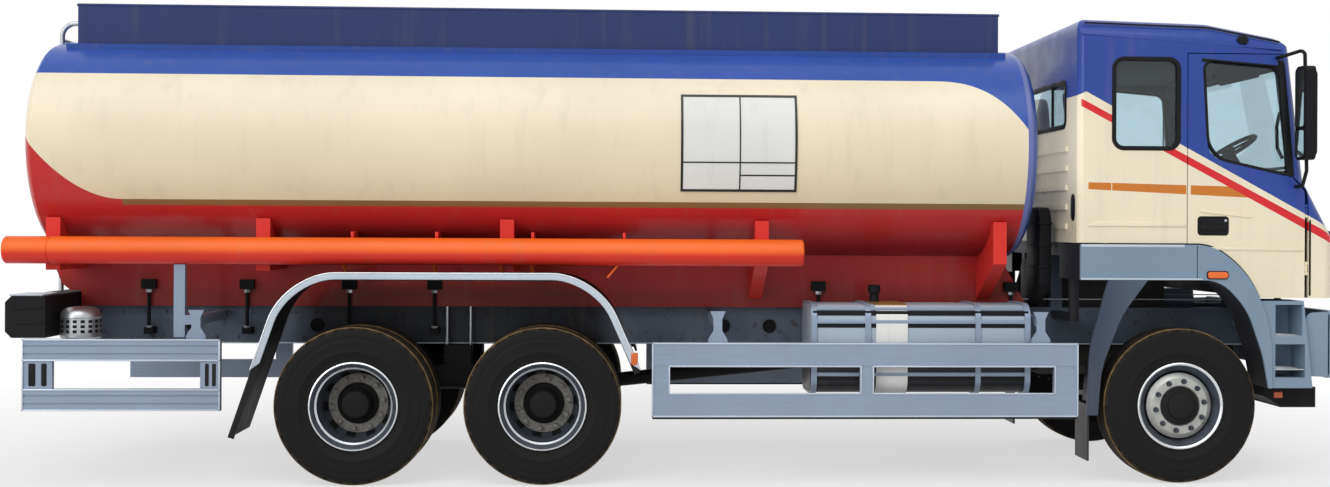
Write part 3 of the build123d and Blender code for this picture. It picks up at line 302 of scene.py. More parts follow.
def cab_paint(name):
    """Cab enamel: blue over cream, a red diagonal with a cream edge, a gold line, dark lining inside."""
    material, tree, shader, place = start_material(name, Coat_Weight=0.2, Coat_Roughness=0.10)
    tint = colours()
    axes = add_node(tree, "SeparateXYZ", (place,)).node.outputs
    x, y, z = axes["X"], axes["Y"], axes["Z"]
    out = add_node(tree, "Math", (y,), operation="ABSOLUTE")
    edges = (BLUE_EDGE, BLUE_NOTCH, RED_LOW, RED_HIGH, GOLD_LOW, GOLD_HIGH, SCREEN_BACK)
    edge, notch, red_low, red_high, gold_low, gold_high, ahead = [above_line(tree, x, z, *e) for e in edges]
    blue = add_node(tree, "Math", (edge, notch), operation="MAXIMUM")
    red = add_node(tree, "Math", (red_low, red_high), operation="SUBTRACT")
    red = add_node(tree, "Math", (red, between(tree, x, RED_REAR, RED_FRONT)), operation="MULTIPLY")
    gold = add_node(tree, "Math", (gold_low, gold_high), operation="SUBTRACT")
    gold = add_node(tree, "Math", (gold, red_low), operation="GREATER_THAN")
    run = 0.0
    for limits in GOLD_RUNS:
        run = add_node(tree, "Math", (run, between(tree, x, *limits)), operation="ADD")
    gold = add_node(tree, "Math", (gold, run), operation="MULTIPLY")
    halves = (CAB_HALF - 0.030, GRILLE_HALF)
    inner, middle = [add_node(tree, "Math", (out, half), operation="LESS_THAN") for half in halves]
    length_in = between(tree, x, CAB_REAR + 0.03, DOOR_FRONT + 0.03)
    inside = overlap(tree, inner, length_in, between(tree, z, 0.0, ROOF_SPLIT))
    inside = add_node(tree, "Math", (inside, ahead), operation="GREATER_THAN")
    grille = overlap(tree, middle, between(tree, x, *GRILLE_X), between(tree, z, *GRILLE_Z))
    whole = layered(
        tree, tint.cab_cream, (gold, tint.gold), (blue, tint.cab_blue), (red, tint.stripe_red),
        (inside, tint.lining), (grille, tint.black),
    )
    weathered(tree, shader, place, whole, 0.30, 0.12)
    return material


def fender_paint(name):
    """Grey-blue enamel on the fender's skin, darkened on its rear leg as painted shade, black plastic
    lining behind it.
    """
    material, tree, shader, place = start_material(name, Coat_Weight=0.04, Coat_Roughness=0.15)
    tint = colours()
    axes = add_node(tree, "SeparateXYZ", (place,)).node.outputs
    x, z = axes["X"], axes["Z"]
    out = add_node(tree, "Math", (axes["Y"],), operation="ABSOLUTE")
    limits = ((out, FENDER_SKIN_Y), (x, STEPS_REAR_X), (z, LEG_TOP_Z), (x, LEG_FRONT_X))
    under = [add_node(tree, "Math", pair, operation="LESS_THAN") for pair in limits]
    lined = add_node(tree, "Math", under[:2], operation="MULTIPLY")
    # Painted shade: the rear leg darkens towards the back and below 1.34 m
    shade = add_node(tree, "MapRange", (x, 2.7, 3.05, 0.95, 0.7))
    leg_shade_mask = overlap(tree, shade, *under[2:])
    base = layered(tree, tint.fender_grey, (leg_shade_mask, tint.painted_leg_shade), (lined, tint.lining_and_shade_black))
    weathered(tree, shader, place, base, 0.38, 0.08)
    return material


def hose_paint(name):
    """Orange enamel on the hose tubes, drawn bright orange on top and red underneath: painted light and
    shade.
    """
    material, tree, shader, place = start_material(name, Coat_Weight=0.2, Coat_Roughness=0.25)
    height = add_node(tree, "SeparateXYZ", (place,), "Z")
    # Painted light and shade: orange above the tube's middle, turning red below it
    turn = add_node(tree, "MapRange", (height, HOSE_Z - 0.022, HOSE_Z + 0.012, 0.0, 1.0))
    tint = colours()
    base = add_node(tree, "Mix", {0: turn, 6: tint.hose_shade_red, 7: tint.hose_top}, 2, **LAID_OVER)
    weathered(tree, shader, place, base, 0.42, 0.1)
    return material


def drawn_metal(name, setting, metal=0.25, rough=0.42):
    """Drawn aluminium under a thin coat: fine lines along the rail, soft sheen."""
    material, tree, shader, place = start_material(name, Metallic=metal, Coat_Weight=0.2)
    drawn = add_node(tree, "Mapping", {"Vector": place, "Scale": (0.02, 1.0, 1.0)})
    lines = patches(tree, drawn, 5, 0.3, 0.7, 0.93, 1.05)
    base = add_node(tree, "Mix", {0: 1.0, 6: getattr(colours(), setting), 7: lines}, 2, **MULTIPLIED)
    weathered(tree, shader, place, base, rough, 0.12)
    return material


def frame_steel(name):
    """Chassis paint on rolled steel: chalky grey, chipped and oily, black beside the wheels with road grime
    and painted shade under the mudguards.
    """
    material, tree, shader, place = start_material(name, Coat_Weight=0.05)
    chips = patches(tree, place, 70, 0.60, 0.68, 0.0, 0.6, 8.0)
    oil = patches(tree, place, 420, 0.52, 0.72, 0.0, 0.35, 4.0)
    # Beside the wheels the rails turn black: road grime and painted shade under the mudguards
    from_axles = add_node(tree, "VectorMath", (place, (TANDEM_X, 0, 0)), operation="SUBTRACT")
    along = add_node(tree, "SeparateXYZ", (from_axles,), "X")
    away = add_node(tree, "Math", (along,), operation="ABSOLUTE")
    grime_and_shade = add_node(tree, "MapRange", (away, 0.95, 1.15, 0.85, 0.0))
    tint = colours()
    rust, oily = linear("3A2A22"), linear("1C2026")
    base = layered(tree, tint.frame_grey, (chips, rust), (oil, oily), (grime_and_shade, tint.lining_and_shade_black))
    weathered(tree, shader, place, base, 0.55, 0.15, 6.0, 0.2)
    return material


def bearer_paint(name):
    """Red enamel on the bearers, brighter red on their ribs, darker along the foot."""
    material, tree, shader, place = start_material(name, Coat_Weight=0.1)
    tint = colours()
    axes = add_node(tree, "SeparateXYZ", (place,)).node.outputs
    out = add_node(tree, "Math", (axes["Y"],), operation="ABSOLUTE")
    rib = add_node(tree, "Math", (out, BEARER_PLATE_Y), operation="GREATER_THAN")
    # Darker towards the foot
    film = add_node(tree, "MapRange", (axes["Z"], 1.20, 1.46, 0.60, 0.0))
    base = layered(tree, tint.tank_red, (film, linear("3A1C1A")), (rib, tint.bracket_red))
    weathered(tree, shader, place, base, 0.45, 0.1)
    return material


def mottled(
    name, base, spots, millimetres, rough, metal=0.0, bump=0.15, grain=5.0, share=0.5, dust=0.06, gloss=0.15
):
    """A surface whose base colour, a setting or an sRGB hex, is broken by softer spots of a second one."""
    material, tree, shader, place = start_material(name, Metallic=metal, Specular_IOR_Level=gloss)
    tint = colours()
    spot = patches(tree, place, millimetres, 0.45, 0.75, 0.0, share, 6.0)
    ground = getattr(tint, base) if hasattr(tint, base) else linear(base)
    mixed = add_node(tree, "Mix", {0: spot, 6: ground, 7: linear(spots)}, 2, **LAID_OVER)
    weathered(tree, shader, place, mixed, rough, dust, grain, bump, 0.0)
    return material


def bare_steel(name):
    """Galvanised steel: pale grey with soft spangle."""
    material, tree, shader, place = start_material(name, Metallic=0.85)
    cells = add_node(tree, "TexVoronoi", {"Vector": place, "Scale": per_metre(22)}, "Distance")
    spangle = add_node(tree, "MapRange", (cells, 0.0, 0.9, 0.92, 1.06))
    base = add_node(tree, "Mix", {0: 1.0, 6: linear("B4B9BD"), 7: spangle}, 2, **MULTIPLIED)
    weathered(tree, shader, place, base, 0.38, 0.15, 5.0, 0.08)
    return material


def lamp_lens(name, setting):
    """Moulded acrylic lens, ribbed inside: deep colour under a clear gloss."""
    gloss = {"Coat_Weight": 0.8, "Coat_Roughness": 0.04, "Roughness": 0.25}
    material, tree, shader, place = start_material(name, **gloss)
    ribs = add_node(tree, "TexWave", {"Vector": place, "Scale": per_metre(120)}, "Fac", bands_direction="Y")
    shade = add_node(tree, "MapRange", (ribs, 0.0, 1.0, 0.75, 1.1))
    base = add_node(tree, "Mix", {0: 1.0, 6: getattr(colours(), setting), 7: shade}, 2, **MULTIPLIED)
    tree.links.new(base, shader.inputs["Base Color"])
    return material


def lamp_clear(name):
    """Clear lamp glass over a bright reflector."""
    material, tree, shader, place = start_material(name, Metallic=0.6, Roughness=0.12, Coat_Weight=1.0)
    facets = add_node(tree, "TexVoronoi", {"Vector": place, "Scale": per_metre(28)}, "Distance")
    shade = add_node(tree, "MapRange", (facets, 0.0, 0.8, 0.6, 1.0))
    base = add_node(tree, "Mix", {0: 1.0, 6: linear("E3E8EA"), 7: shade}, 2, **MULTIPLIED)
    tree.links.new(base, shader.inputs["Base Color"])
    return material


def clear_glass(name):
    """Toughened float glass with a faint green-blue tint and a thin film of dust."""
    clear = {"Transmission_Weight": 1.0, "IOR": 1.45, "Specular_IOR_Level": 0.5}
    material, tree, shader, place = start_material(name, **clear)
    film = patches(tree, place, 120, 0.45, 0.8, 0.0, 0.12, 5.0)
    base = add_node(tree, "Mix", {0: film, 6: colours().glass, 7: linear("B8B4A8")}, 2, **LAID_OVER)
    tree.links.new(base, shader.inputs["Base Color"])
    haze = add_node(tree, "MapRange", (film, 0.0, 0.12, 0.0, 0.06))
    tree.links.new(haze, shader.inputs["Roughness"])
    return material


def mirror_glass(name):
    """Silvered mirror glass with a trace of dust."""
    material, tree, shader, place = start_material(name, Metallic=1.0)
    film = patches(tree, place, 40, 0.4, 0.8, 0.03, 0.14, 4.0)
    tree.links.new(film, shader.inputs["Roughness"])
    base = add_node(tree, "Mix", {0: film, 6: linear("DDE3E6"), 7: colours().dust}, 2, **LAID_OVER)
    tree.links.new(base, shader.inputs["Base Color"])
    return material


def seat_cloth(name):
    """Woven truck-seat cloth: blue-grey, a plain weave drawn at 6 mm so that it shows."""
    material, tree, shader, place = start_material(name, Roughness=0.9, Sheen_Weight=0.3)
    threads = [
        add_node(tree, "TexWave", {"Vector": place, "Scale": per_metre(6)}, "Fac", bands_direction=way)
        for way in ("Y", "DIAGONAL")
    ]
    weave = add_node(tree, "Math", threads, operation="MULTIPLY")
    worn = patches(tree, place, 180, 0.4, 0.7, 0.85, 1.1)
    shade = add_node(tree, "Mix", {0: weave, 6: linear("2B3442"), 7: linear("56647A")}, 2, **LAID_OVER)
    shade = add_node(tree, "Mix", {0: 1.0, 6: shade, 7: worn}, 2, **MULTIPLIED)
    tree.links.new(shade, shader.inputs["Base Color"])
    relief = add_node(tree, "Bump", {"Strength": 0.3, "Distance": 0.002, "Height": weave})
    tree.links.new(relief, shader.inputs["Normal"])
    return material


# Finishes: what makes each, then its values in the order that its maker takes them

FINISHES = {
    "tank_enamel": (tank_paint,),
    "cab_enamel": (cab_paint,),
    "hose_enamel": (hose_paint,),
    "fender_enamel": (fender_paint,),
    "bearer_enamel": (bearer_paint,),
    # Coaming in navy over a brighter blue ledge
    "walkway_enamel": (split_paint, "ledge_blue", "navy", 2.8625, 0.42, 0.15, 0.05),
    # The fuel tank in guard grey, its lower half black: painted shade behind the side guard
    "fuel_tank_enamel": (split_paint, "lining_and_shade_black", "panel_grey", 0.82, 0.4, 0.1, 0.1),
    # A white strap, rusty on top
    "strap_enamel": (split_paint, "sign_white", "brown", 1.163, 0.4, 0.1, 0.1),
    "bracket_red_enamel": (paint, "bracket_red", 0.38, 0.25, 0.1),
    "orange_enamel": (paint, "hose_top", 0.40, 0.25, 0.1),
    "bumper_enamel": (paint, "fender_grey", 0.36, 0.3, 0.15),
    # The two lip finishes carry painted highlights on edges
    "lip_highlight_enamel": (paint, "lip_highlight_grey", 0.34, 0.3, 0.1),
    "sign_enamel": (paint, "sign_white", 0.4, 0.2, 0.05),
    "black_enamel": (paint, "black", 0.35, 0.3, 0.1),
    "guard_aluminium": (drawn_metal, "guard_grey"),
    "strip_highlight_aluminium": (drawn_metal, "lip_highlight_grey", 0.4, 0.32),
    "frame_steel": (frame_steel,),
    "galvanised_steel": (bare_steel,),
    # Black chassis paint, matt and dusty
    "chassis_steel": (mottled, "black", "221F1D", 180, 0.55, 0.0, 0.15, 5.0, 0.5, 0.03, 0.08),
    # Moulded polypropylene: near black, pebbled, half matt
    "black_polypropylene": (mottled, "black", "1E1E1F", 90, 0.5, 0.0, 0.18, 2.5, 0.5, 0.06, 0.1),
    # Sand-cast iron, dark and rough with a film of oil
    "cast_iron": (mottled, "3B3A38", "1E1C1A", 120, 0.6, 0.4, 0.5, 8.0),
    # Aluminium lacquer on pressed wheels, brown brake dust in patches
    "rim_lacquer": (mottled, "silver", "6A6058", 90, 0.4, 0.5, 0.08, 5.0, 0.45),
    # Bright metal as a painted highlight on rims' outer edges and mudguards' strips, faintly scratched
    "bright_edge_highlight": (mottled, "DDE1E4", "B0B4B8", 30, 0.25, 0.75, 0.05, 3.0, 0.4, 0.05),
    # Steel inside a rim: grey-blue lacquer under brake dust
    "rim_dusty": (mottled, "3C4450", "1E1E1F", 60, 0.5, 0.2, 0.15, 6.0, 0.6),
    # Grey cast ring under the wheel nuts, gritty with dust
    "rim_cast": (mottled, "96948F", "5A5650", 16, 0.6, 0.2, 0.4, 6.0, 0.8),
    # Carbon-black rubber, scuffed a little browner
    "carbon_rubber": (mottled, "rubber", "1F1D1B", 45, 0.6, 0.0, 0.2, 4.0, 0.4, 0.01, 0.08),
    # The tyre's rounded shoulder, tan with road dust
    "shoulder_rubber": (mottled, "6B573C", "A08458", 60, 0.75, 0.0, 0.3, 5.0, 0.9, 0.05),
    # Tread rubber, a little brown
    "tread_rubber": (mottled, "1F1C1A", "3A3026", 60, 0.7, 0.0, 0.3, 5.0, 0.8, 0.05),
    # Extruded window rubber: black, softly shiny
    "seal_rubber": (mottled, "141517", "1E1F21", 60, 0.42, 0.0, 0.05, 6.0, 0.5, 0.05),
    # Vinyl-faced board lining the cab
    "lining_vinyl": (mottled, "lining", "333B47", 140, 0.7, 0.0, 0.25, 3.0, 0.6, 0.0),
    "lens_amber": (lamp_lens, "amber"),
    "lens_red": (lamp_lens, "lamp_red"),
    "lens_clear": (lamp_clear,),
    "float_glass": (clear_glass,),
    "mirror_glass": (mirror_glass,),
    "woven_cloth": (seat_cloth,),
}


def finish(name):
    """A finish by name, made on first use."""
    made = bpy.data.materials.get(name)
    if made is None:
        maker, *values = FINISHES[name]
        made = maker(name, *values)
    return made


# Shapes

def add_box(mesh, x, y, z, edge=0.0, material=0, segments=2):
    """A box between pairs of limits, its edges rounded."""
    known = set(mesh.faces)
    centre = [(pair[0] + pair[1]) / 2 for pair in (x, y, z)]
    spans = [abs(pair[1] - pair[0]) for pair in (x, y, z)]
    place = Matrix.Translation(centre) @ Matrix.Diagonal((*spans, 1))
    made = bmesh.ops.create_cube(mesh, size=1, matrix=place)
    if edge:
        round_edges(mesh, {e for v in made["verts"] for e in v.link_edges}, edge, segments)
    set_material(mesh, known, material)


def around(middle, half):
    """Limits at a distance either side of a middle."""
    return (middle - half, middle + half)


def side_box(mesh, way, x, y, z, edge=0.0, material=0):
    """A rounded box on one side of the truck, its Y limits given as distances out."""
    add_box(mesh, x, (way * y[0], way * y[1]), z, edge, material)


def round_edges(mesh, edges, offset, segments=2):
    """Round a set of edges."""
    bmesh.ops.bevel(
        mesh, geom=list(edges), offset=offset, affect="EDGES", segments=segments, profile=0.5, material=-1,
        clamp_overlap=True,
    )


def set_material(mesh, known, material):
    """Give every face that is not in a known set a material's place in the list."""
    for face in mesh.faces:
        if face not in known:
            face.material_index = material


def add_rod(mesh, start, end, radius, segments=24, material=0, end_radius=None):
    """A round bar, cone or prism between two points."""
    start, end = Vector(start), Vector(end)
    along = end - start
    place = Matrix.Translation((start + end) / 2) @ along.to_track_quat("Z", "Y").to_matrix().to_4x4()
    made = bmesh.ops.create_cone(
        mesh, cap_ends=True, cap_tris=False, segments=segments, radius1=radius,
        radius2=radius if end_radius is None else end_radius, depth=along.length, matrix=place,
    )
    for face in {f for v in made["verts"] for f in v.link_faces}:
        face.material_index = material


def add_lathe(mesh, profile, centre, axis, steps=48, material=0):
    """Spin a profile of (radius, offset) pairs about an axis line; returns the new faces."""
    known = set(mesh.faces)
    axis = Vector(axis).normalized()
    across = axis.orthogonal().normalized()
    centre = Vector(centre)
    points = [mesh.verts.new(centre + axis * along + across * radius) for radius, along in profile]
    lines = [mesh.edges.new(pair) for pair in zip(points, points[1:])]
    bmesh.ops.spin(
        mesh, geom=points + lines, cent=centre, axis=axis, angle=math.tau, steps=steps, use_merge=True,
        use_duplicate=False,
    )
    set_material(mesh, known, material)
    made = [face for face in mesh.faces if face not in known]
    bmesh.ops.remove_doubles(mesh, verts=list({v for f in made for v in f.verts}), dist=1e-5)
    return [face for face in mesh.faces if face not in known]


def add_plate(mesh, points, depth, rounds=(), edge=0.0, material=0, segments=6):
    """A flat outline pushed out by a vector, with rounded corners and edges."""
    known = set(mesh.faces)
    face = start_outline(mesh, points, rounds, segments)
    pushed = bmesh.ops.extrude_face_region(mesh, geom=[face])
    bmesh.ops.translate(mesh, vec=depth, verts=made_points(pushed))
    made = [f for f in mesh.faces if f not in known]
    if edge:
        ends = [f for f in made if len(f.verts) > 4 or len(points) == 4]
        rims = {e for f in ends for e in f.edges if e.calc_face_angle(0) > 0.5}
        round_edges(mesh, rims, edge)
    set_material(mesh, known, material)


def made_points(pushed):
    """The points that an extrusion made."""
    return [part for part in pushed["geom"] if isinstance(part, bmesh.types.BMVert)]


def made_faces(pushed):
    """The faces that an extrusion made."""
    return [part for part in pushed["geom"] if isinstance(part, bmesh.types.BMFace)]


def start_outline(mesh, points, rounds, segments):
    """A flat face from corner points, each corner rounded by its own distance."""
    known = set(mesh.faces)
    corners = [mesh.verts.new(point) for point in points]
    mesh.faces.new(corners)
    for corner, distance in zip(corners, rounds):
        if distance:
            bmesh.ops.bevel(
                mesh, geom=[corner], offset=distance, affect="VERTICES", segments=segments, profile=0.5,
                material=-1, clamp_overlap=True,
            )
    return next(face for face in mesh.faces if face not in known)


def on_side(points, way, y):
    """Corners of a side view, (X, Z), placed on a plane beside the truck."""
    return [(x, way * y, z) for x, z in points]


def grown(points, amount):
    """A four-cornered outline with each corner moved outwards along both axes."""
    middles = [sum(values) / len(points) for values in zip(*points)]
    return [
        tuple(value + math.copysign(amount, value - middle) for value, middle in zip(point, middles))
        for point in points
    ]


def rectangle(across, up, grow=0.0):
    """Corner pairs of an upright rectangle between limits."""
    (left, right), (low, high) = across, up
    return grown(((left, low), (right, low), (right, high), (left, high)), grow)


def add_ring(mesh, points, width, depth, rounds=(), edge=0.0, material=0, segments=6, drop=None):
    """A flat frame: a rounded outline less its inside, pushed out by a vector; drop opens one side."""
    known = set(mesh.faces)
    face = start_outline(mesh, points, rounds, segments)
    bmesh.ops.inset_region(mesh, faces=[face], thickness=width, use_even_offset=True, use_boundary=True)
    bmesh.ops.delete(mesh, geom=[face], context="FACES_ONLY")
    band = [f for f in mesh.faces if f not in known]
    if drop:
        spare = min(band, key=lambda f: (f.calc_center_median() - Vector(drop)).length)
        bmesh.ops.delete(mesh, geom=[spare], context="FACES")
        band.remove(spare)
    pushed = bmesh.ops.extrude_face_region(mesh, geom=band)
    bmesh.ops.translate(mesh, vec=depth, verts=made_points(pushed))
    if edge:
        rims = {e for f in made_faces(pushed) for e in f.edges if e.calc_face_angle(0) > 0.5}
        round_edges(mesh, rims, edge)
    set_material(mesh, known, material)


def side_plate(mesh, way, points, y, depth, rounds=(), edge=0.0, material=0):
    """A plate in side view, standing out from a plane beside the truck."""
    add_plate(mesh, on_side(points, way, y), Y_AXIS * way * depth, rounds, edge, material)


def side_ring(mesh, way, points, y, width, depth, rounds, edge):
    """A flat frame in side view, standing out from a plane beside the truck."""
    add_ring(mesh, on_side(points, way, y), width, Y_AXIS * way * depth, rounds, edge)


def end_view(x, points, way=1):
    """Corners of an end view, (Y, Z), placed on a plane across the truck."""
    return [(x, way * y, z) for y, z in points]


def add_bolts(mesh, places, way, radius, height, material=0):
    """Hexagon heads standing on a surface."""
    way = Vector(way)
    for place in places:
        start = Vector(place)
        add_rod(mesh, start, start + way * height, radius, 6, material, radius * 0.92)


def add_tube(mesh, points, radius, segments=12, material=0):
    """A bent tube through points: straight runs with a ball at each bend."""
    for start, end in zip(points, points[1:]):
        add_rod(mesh, start, end, radius, segments, material)
    for bend in points[1:-1]:
        known = set(mesh.faces)
        bmesh.ops.create_icosphere(mesh, subdivisions=2, radius=radius, matrix=Matrix.Translation(bend))
        set_material(mesh, known, material)


def add_piece(name, mesh, body, finishes, replaces=(), smooth=32):
    """Finish a bmesh as an object that rides on a body and stands for CAD nodes."""
    bmesh.ops.recalc_face_normals(mesh, faces=mesh.faces)
    data = bpy.data.meshes.new(name)
    mesh.to_mesh(data)
    mesh.free()
    for entry in finishes:
        data.materials.append(finish(entry))
    data.shade_smooth()
    data.set_sharp_from_angle(angle=math.radians(smooth))
    piece = bpy.data.objects.new(name, data)
    bpy.context.scene.collection.objects.link(piece)
    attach(piece, body)
    if replaces:
        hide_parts(*replaces)
    return piece


def dress(node, finish_name):
    """Give a CAD node that stays in view its finish."""
    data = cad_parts[node].data
    data.materials.clear()
    data.materials.append(finish(finish_name))


def node_middle(node):
    low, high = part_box(node)
    return (low + high) / 2


# Places taken from the frame, in metres

CAB_REAR = 2.575
CAB_HALF = 1.220
ROOF_SPLIT = 2.835
DOOR_FRONT = 4.092
TANK_REAR = -4.167
TANK_FRONT = 2.276
TANK_HALF = 1.220
TANK_MID_Z = 2.220
SHOULDER = (0.720, 2.850)
LOWER = (0.620, 1.500)
MANHOLES = (-3.415, -1.846, -0.272, 1.392)
HOSE_Y = 1.130
HOSE_Z = 1.505
HOSE_RADIUS = 0.088
GUARD_Y = 1.225
AXLE_Z = 0.510
TANDEM_X = -1.53

# Livery lines, as places on the truck's side in X and Z

BLUE_LOW_Z = 2.645
BLUE_SWEEP_X = 1.620
BLUE_SWEEP = 1.19
CREAM_LOW_Z = 1.834
BROWN_LOW_Z = 1.797
RED_SWEEP_X = -3.620
RED_SWEEP = 1.14
RIM_WIDTH = 0.028
RIM_ROUND = 0.012
GRILLE_HALF = 0.7065
GRILLE_X = (4.268, 4.2985)
GRILLE_Z = (1.2885, 1.5315)
FENDER_SKIN_Y = 1.2225
STEPS_REAR_X = 3.855
LEG_TOP_Z = 1.340
LEG_FRONT_X = 3.2
BEARER_PLATE_Y = 0.505
BLUE_EDGE = ((2.627, 2.575), (4.169, 1.740))
BLUE_NOTCH = ((2.575, 2.551), (2.627, 2.575))
RED_HIGH = ((2.576, 2.539), (4.095, 1.739))
RED_LOW = ((2.576, 2.490), (4.095, 1.681))
SCREEN_BACK = ((4.080, 2.0), (3.982, 2.8))
RED_REAR = 2.596
RED_FRONT = 4.320
GOLD_HIGH = ((2.644, 1.980), (3.613, 1.957))
GOLD_LOW = ((2.645, 1.934), (3.732, 1.884))
GOLD_RUNS = ((2.644, 2.796), (2.802, 3.297), (3.326, 4.0))

# Trim places: guard edges as (rear, front, heights), tank mounts, and the hose tubes' fittings

GUARD_LIPS = (
    (-4.205, -2.963, (0.488, 0.618, 0.805, 0.935)),
    (-0.209, 2.583, (0.446, 0.918)),
    (-0.092, 1.146, (0.594, 0.771)),
    (1.236, 2.424, (0.594, 0.771)),
)
GUARD_ENDS = (
    (-4.200, (0.483, 0.940)), (-2.968, (0.483, 0.940)), (-0.204, (0.441, 0.924)), (2.578, (0.441, 0.924)),
    (-0.097, (0.592, 0.773)), (1.151, (0.592, 0.773)), (1.231, (0.592, 0.773)), (2.429, (0.592, 0.773)),
)
GUARD_SLOTS = (
    ((-4.165, -4.120), (0.640, 0.785)), ((-4.085, -4.050), (0.640, 0.785)),
    ((-3.060, -3.035), (0.640, 0.785)), ((-3.015, -2.990), (0.640, 0.785)),
)
MOUNTS = (-3.602, -2.946, -2.258, -1.682, 0.951, 2.295)
TUBE_TABS = (-2.152, -1.610, -0.988, -0.392)
TUBE_STAYS = (-2.210, -1.630, -1.200, -1.000)
MUDGUARD = ((-2.776, 0.744), (-2.560, 1.372), (-0.560, 1.372), (-0.278, 0.744))
PAD_SWELL = 0.016
SEAT_Y = (-0.60, 0.60)

# The fuel tank's box, its hoops and strap along X, its bars' heights and its filler as (radius, height)

FUEL_BOX = ((0.835, 2.285), (-1.130, -0.560), (0.585, 1.165))
FUEL_HOOPS = ((0.835, 0.872), (1.190, 1.228), (1.920, 1.955), (2.248, 2.285))
FUEL_STRAP = (1.262, 1.470)
FUEL_BARS = (1.057, 0.900, 0.712)
FILLER = (
    (0.0, 1.145), (0.040, 1.145), (0.034, 1.165), (0.030, 1.23), (0.042, 1.235), (0.042, 1.285),
    (0.0, 1.29),
)

# Turned sections as (radius, place along the axis)

COLLAR = ((0.0, 2.90), (0.225, 2.90), (0.225, 3.005), (0.26, 3.005), (0.26, 3.033), (0.0, 3.033))
OUTLET = ((0.050, -4.14), (0.050, -4.29), (0.075, -4.29), (0.075, -4.27), (0.061, -4.27), (0.061, -3.75))
LID = (
    (0.0, 3.0353), (0.255, 3.0353), (0.255, 3.056), (0.248, 3.060), (0.205, 3.060), (0.198, 3.068),
    (0.120, 3.076), (0.112, 3.070), (0.0, 3.072),
)
RAIL_HOLE = ((0.0, 0.002), (0.034, 0.002), (0.036, 0.009), (0.046, 0.009), (0.048, 0.0))
CANISTER = (
    (0.0, 0.930), (0.120, 0.930), (0.128, 0.938), (0.128, 0.965), (0.125, 0.968), (0.125, 1.062),
    (0.128, 1.066), (0.126, 1.085), (0.112, 1.112), (0.085, 1.129), (0.045, 1.135), (0.0, 1.135),
)
OUTLET_Z = 1.395
LID_PIN_Z = 3.0473

# Lamps: lenses as (shift out, width, material) and bowls as (shift out, radius); a bowl's section in shares

REAR_FACE = -4.326
FRONT_FACE = 4.345
REAR_LENSES = ((-0.115, 0.10, 0), (0.0, 0.12, 0), (0.115, 0.10, 1))
HEADLAMPS = ((-0.065, 0.062), (0.075, 0.055))
BOWL = ((0.0, -0.002), (0.7, -0.004), (1.0, -0.012), (1.1, -0.014))
PLATES = ((-4.320, (1.02, 1.13), -0.004), (FRONT_FACE, (0.75, 0.86), 0.004))

# Boxes on both sides, each as X, distance out, Z, edge and material

# The first row, a bright strip along the rear bumper's top, is a painted highlight
BUMPER_TRIM = (
    ((-4.30, -4.09), (0.85, 1.19), (1.211, 1.222), 0.004, 1),
    ((-4.25, -4.08), (1.198, 1.206), (1.035, 1.047), 0.002, 2),
    ((-4.28, -4.08), (1.198, 1.206), (1.13, 1.142), 0.002, 2),
    ((3.955, 4.015), (1.046, 1.056), (0.548, 0.590), 0.006, 3),
)
FENDER_Y = 1.245
# The bright top and foot lips are painted highlights
FENDER_EDGES = (
    ((3.362, 3.366), (FENDER_Y - 0.002, FENDER_Y + 0.0012), (1.345, 1.566), 0.0, 1),
    ((2.592, 3.28), (FENDER_Y - 0.004, FENDER_Y + 0.004), (1.555, 1.573), 0.004, 2),
    ((2.592, 3.40), (FENDER_Y - 0.004, FENDER_Y + 0.003), (1.341, 1.352), 0.003, 2),
)
FENDER_LAMP = ((3.432, 1.352), (3.568, 1.352), (3.568, 1.396), (3.432, 1.396))
STEPS_UP = ((0.921, 4.072), (0.701, 4.092))
BUMPER_RETURN = ((4.128, 0.705), (4.285, 0.700), (4.285, 1.132), (4.118, 1.125))
INTAKE = ((-0.36, 1.1205), (-0.74, 1.25), (-0.74, 1.82), (-0.36, 1.82))


# Stage

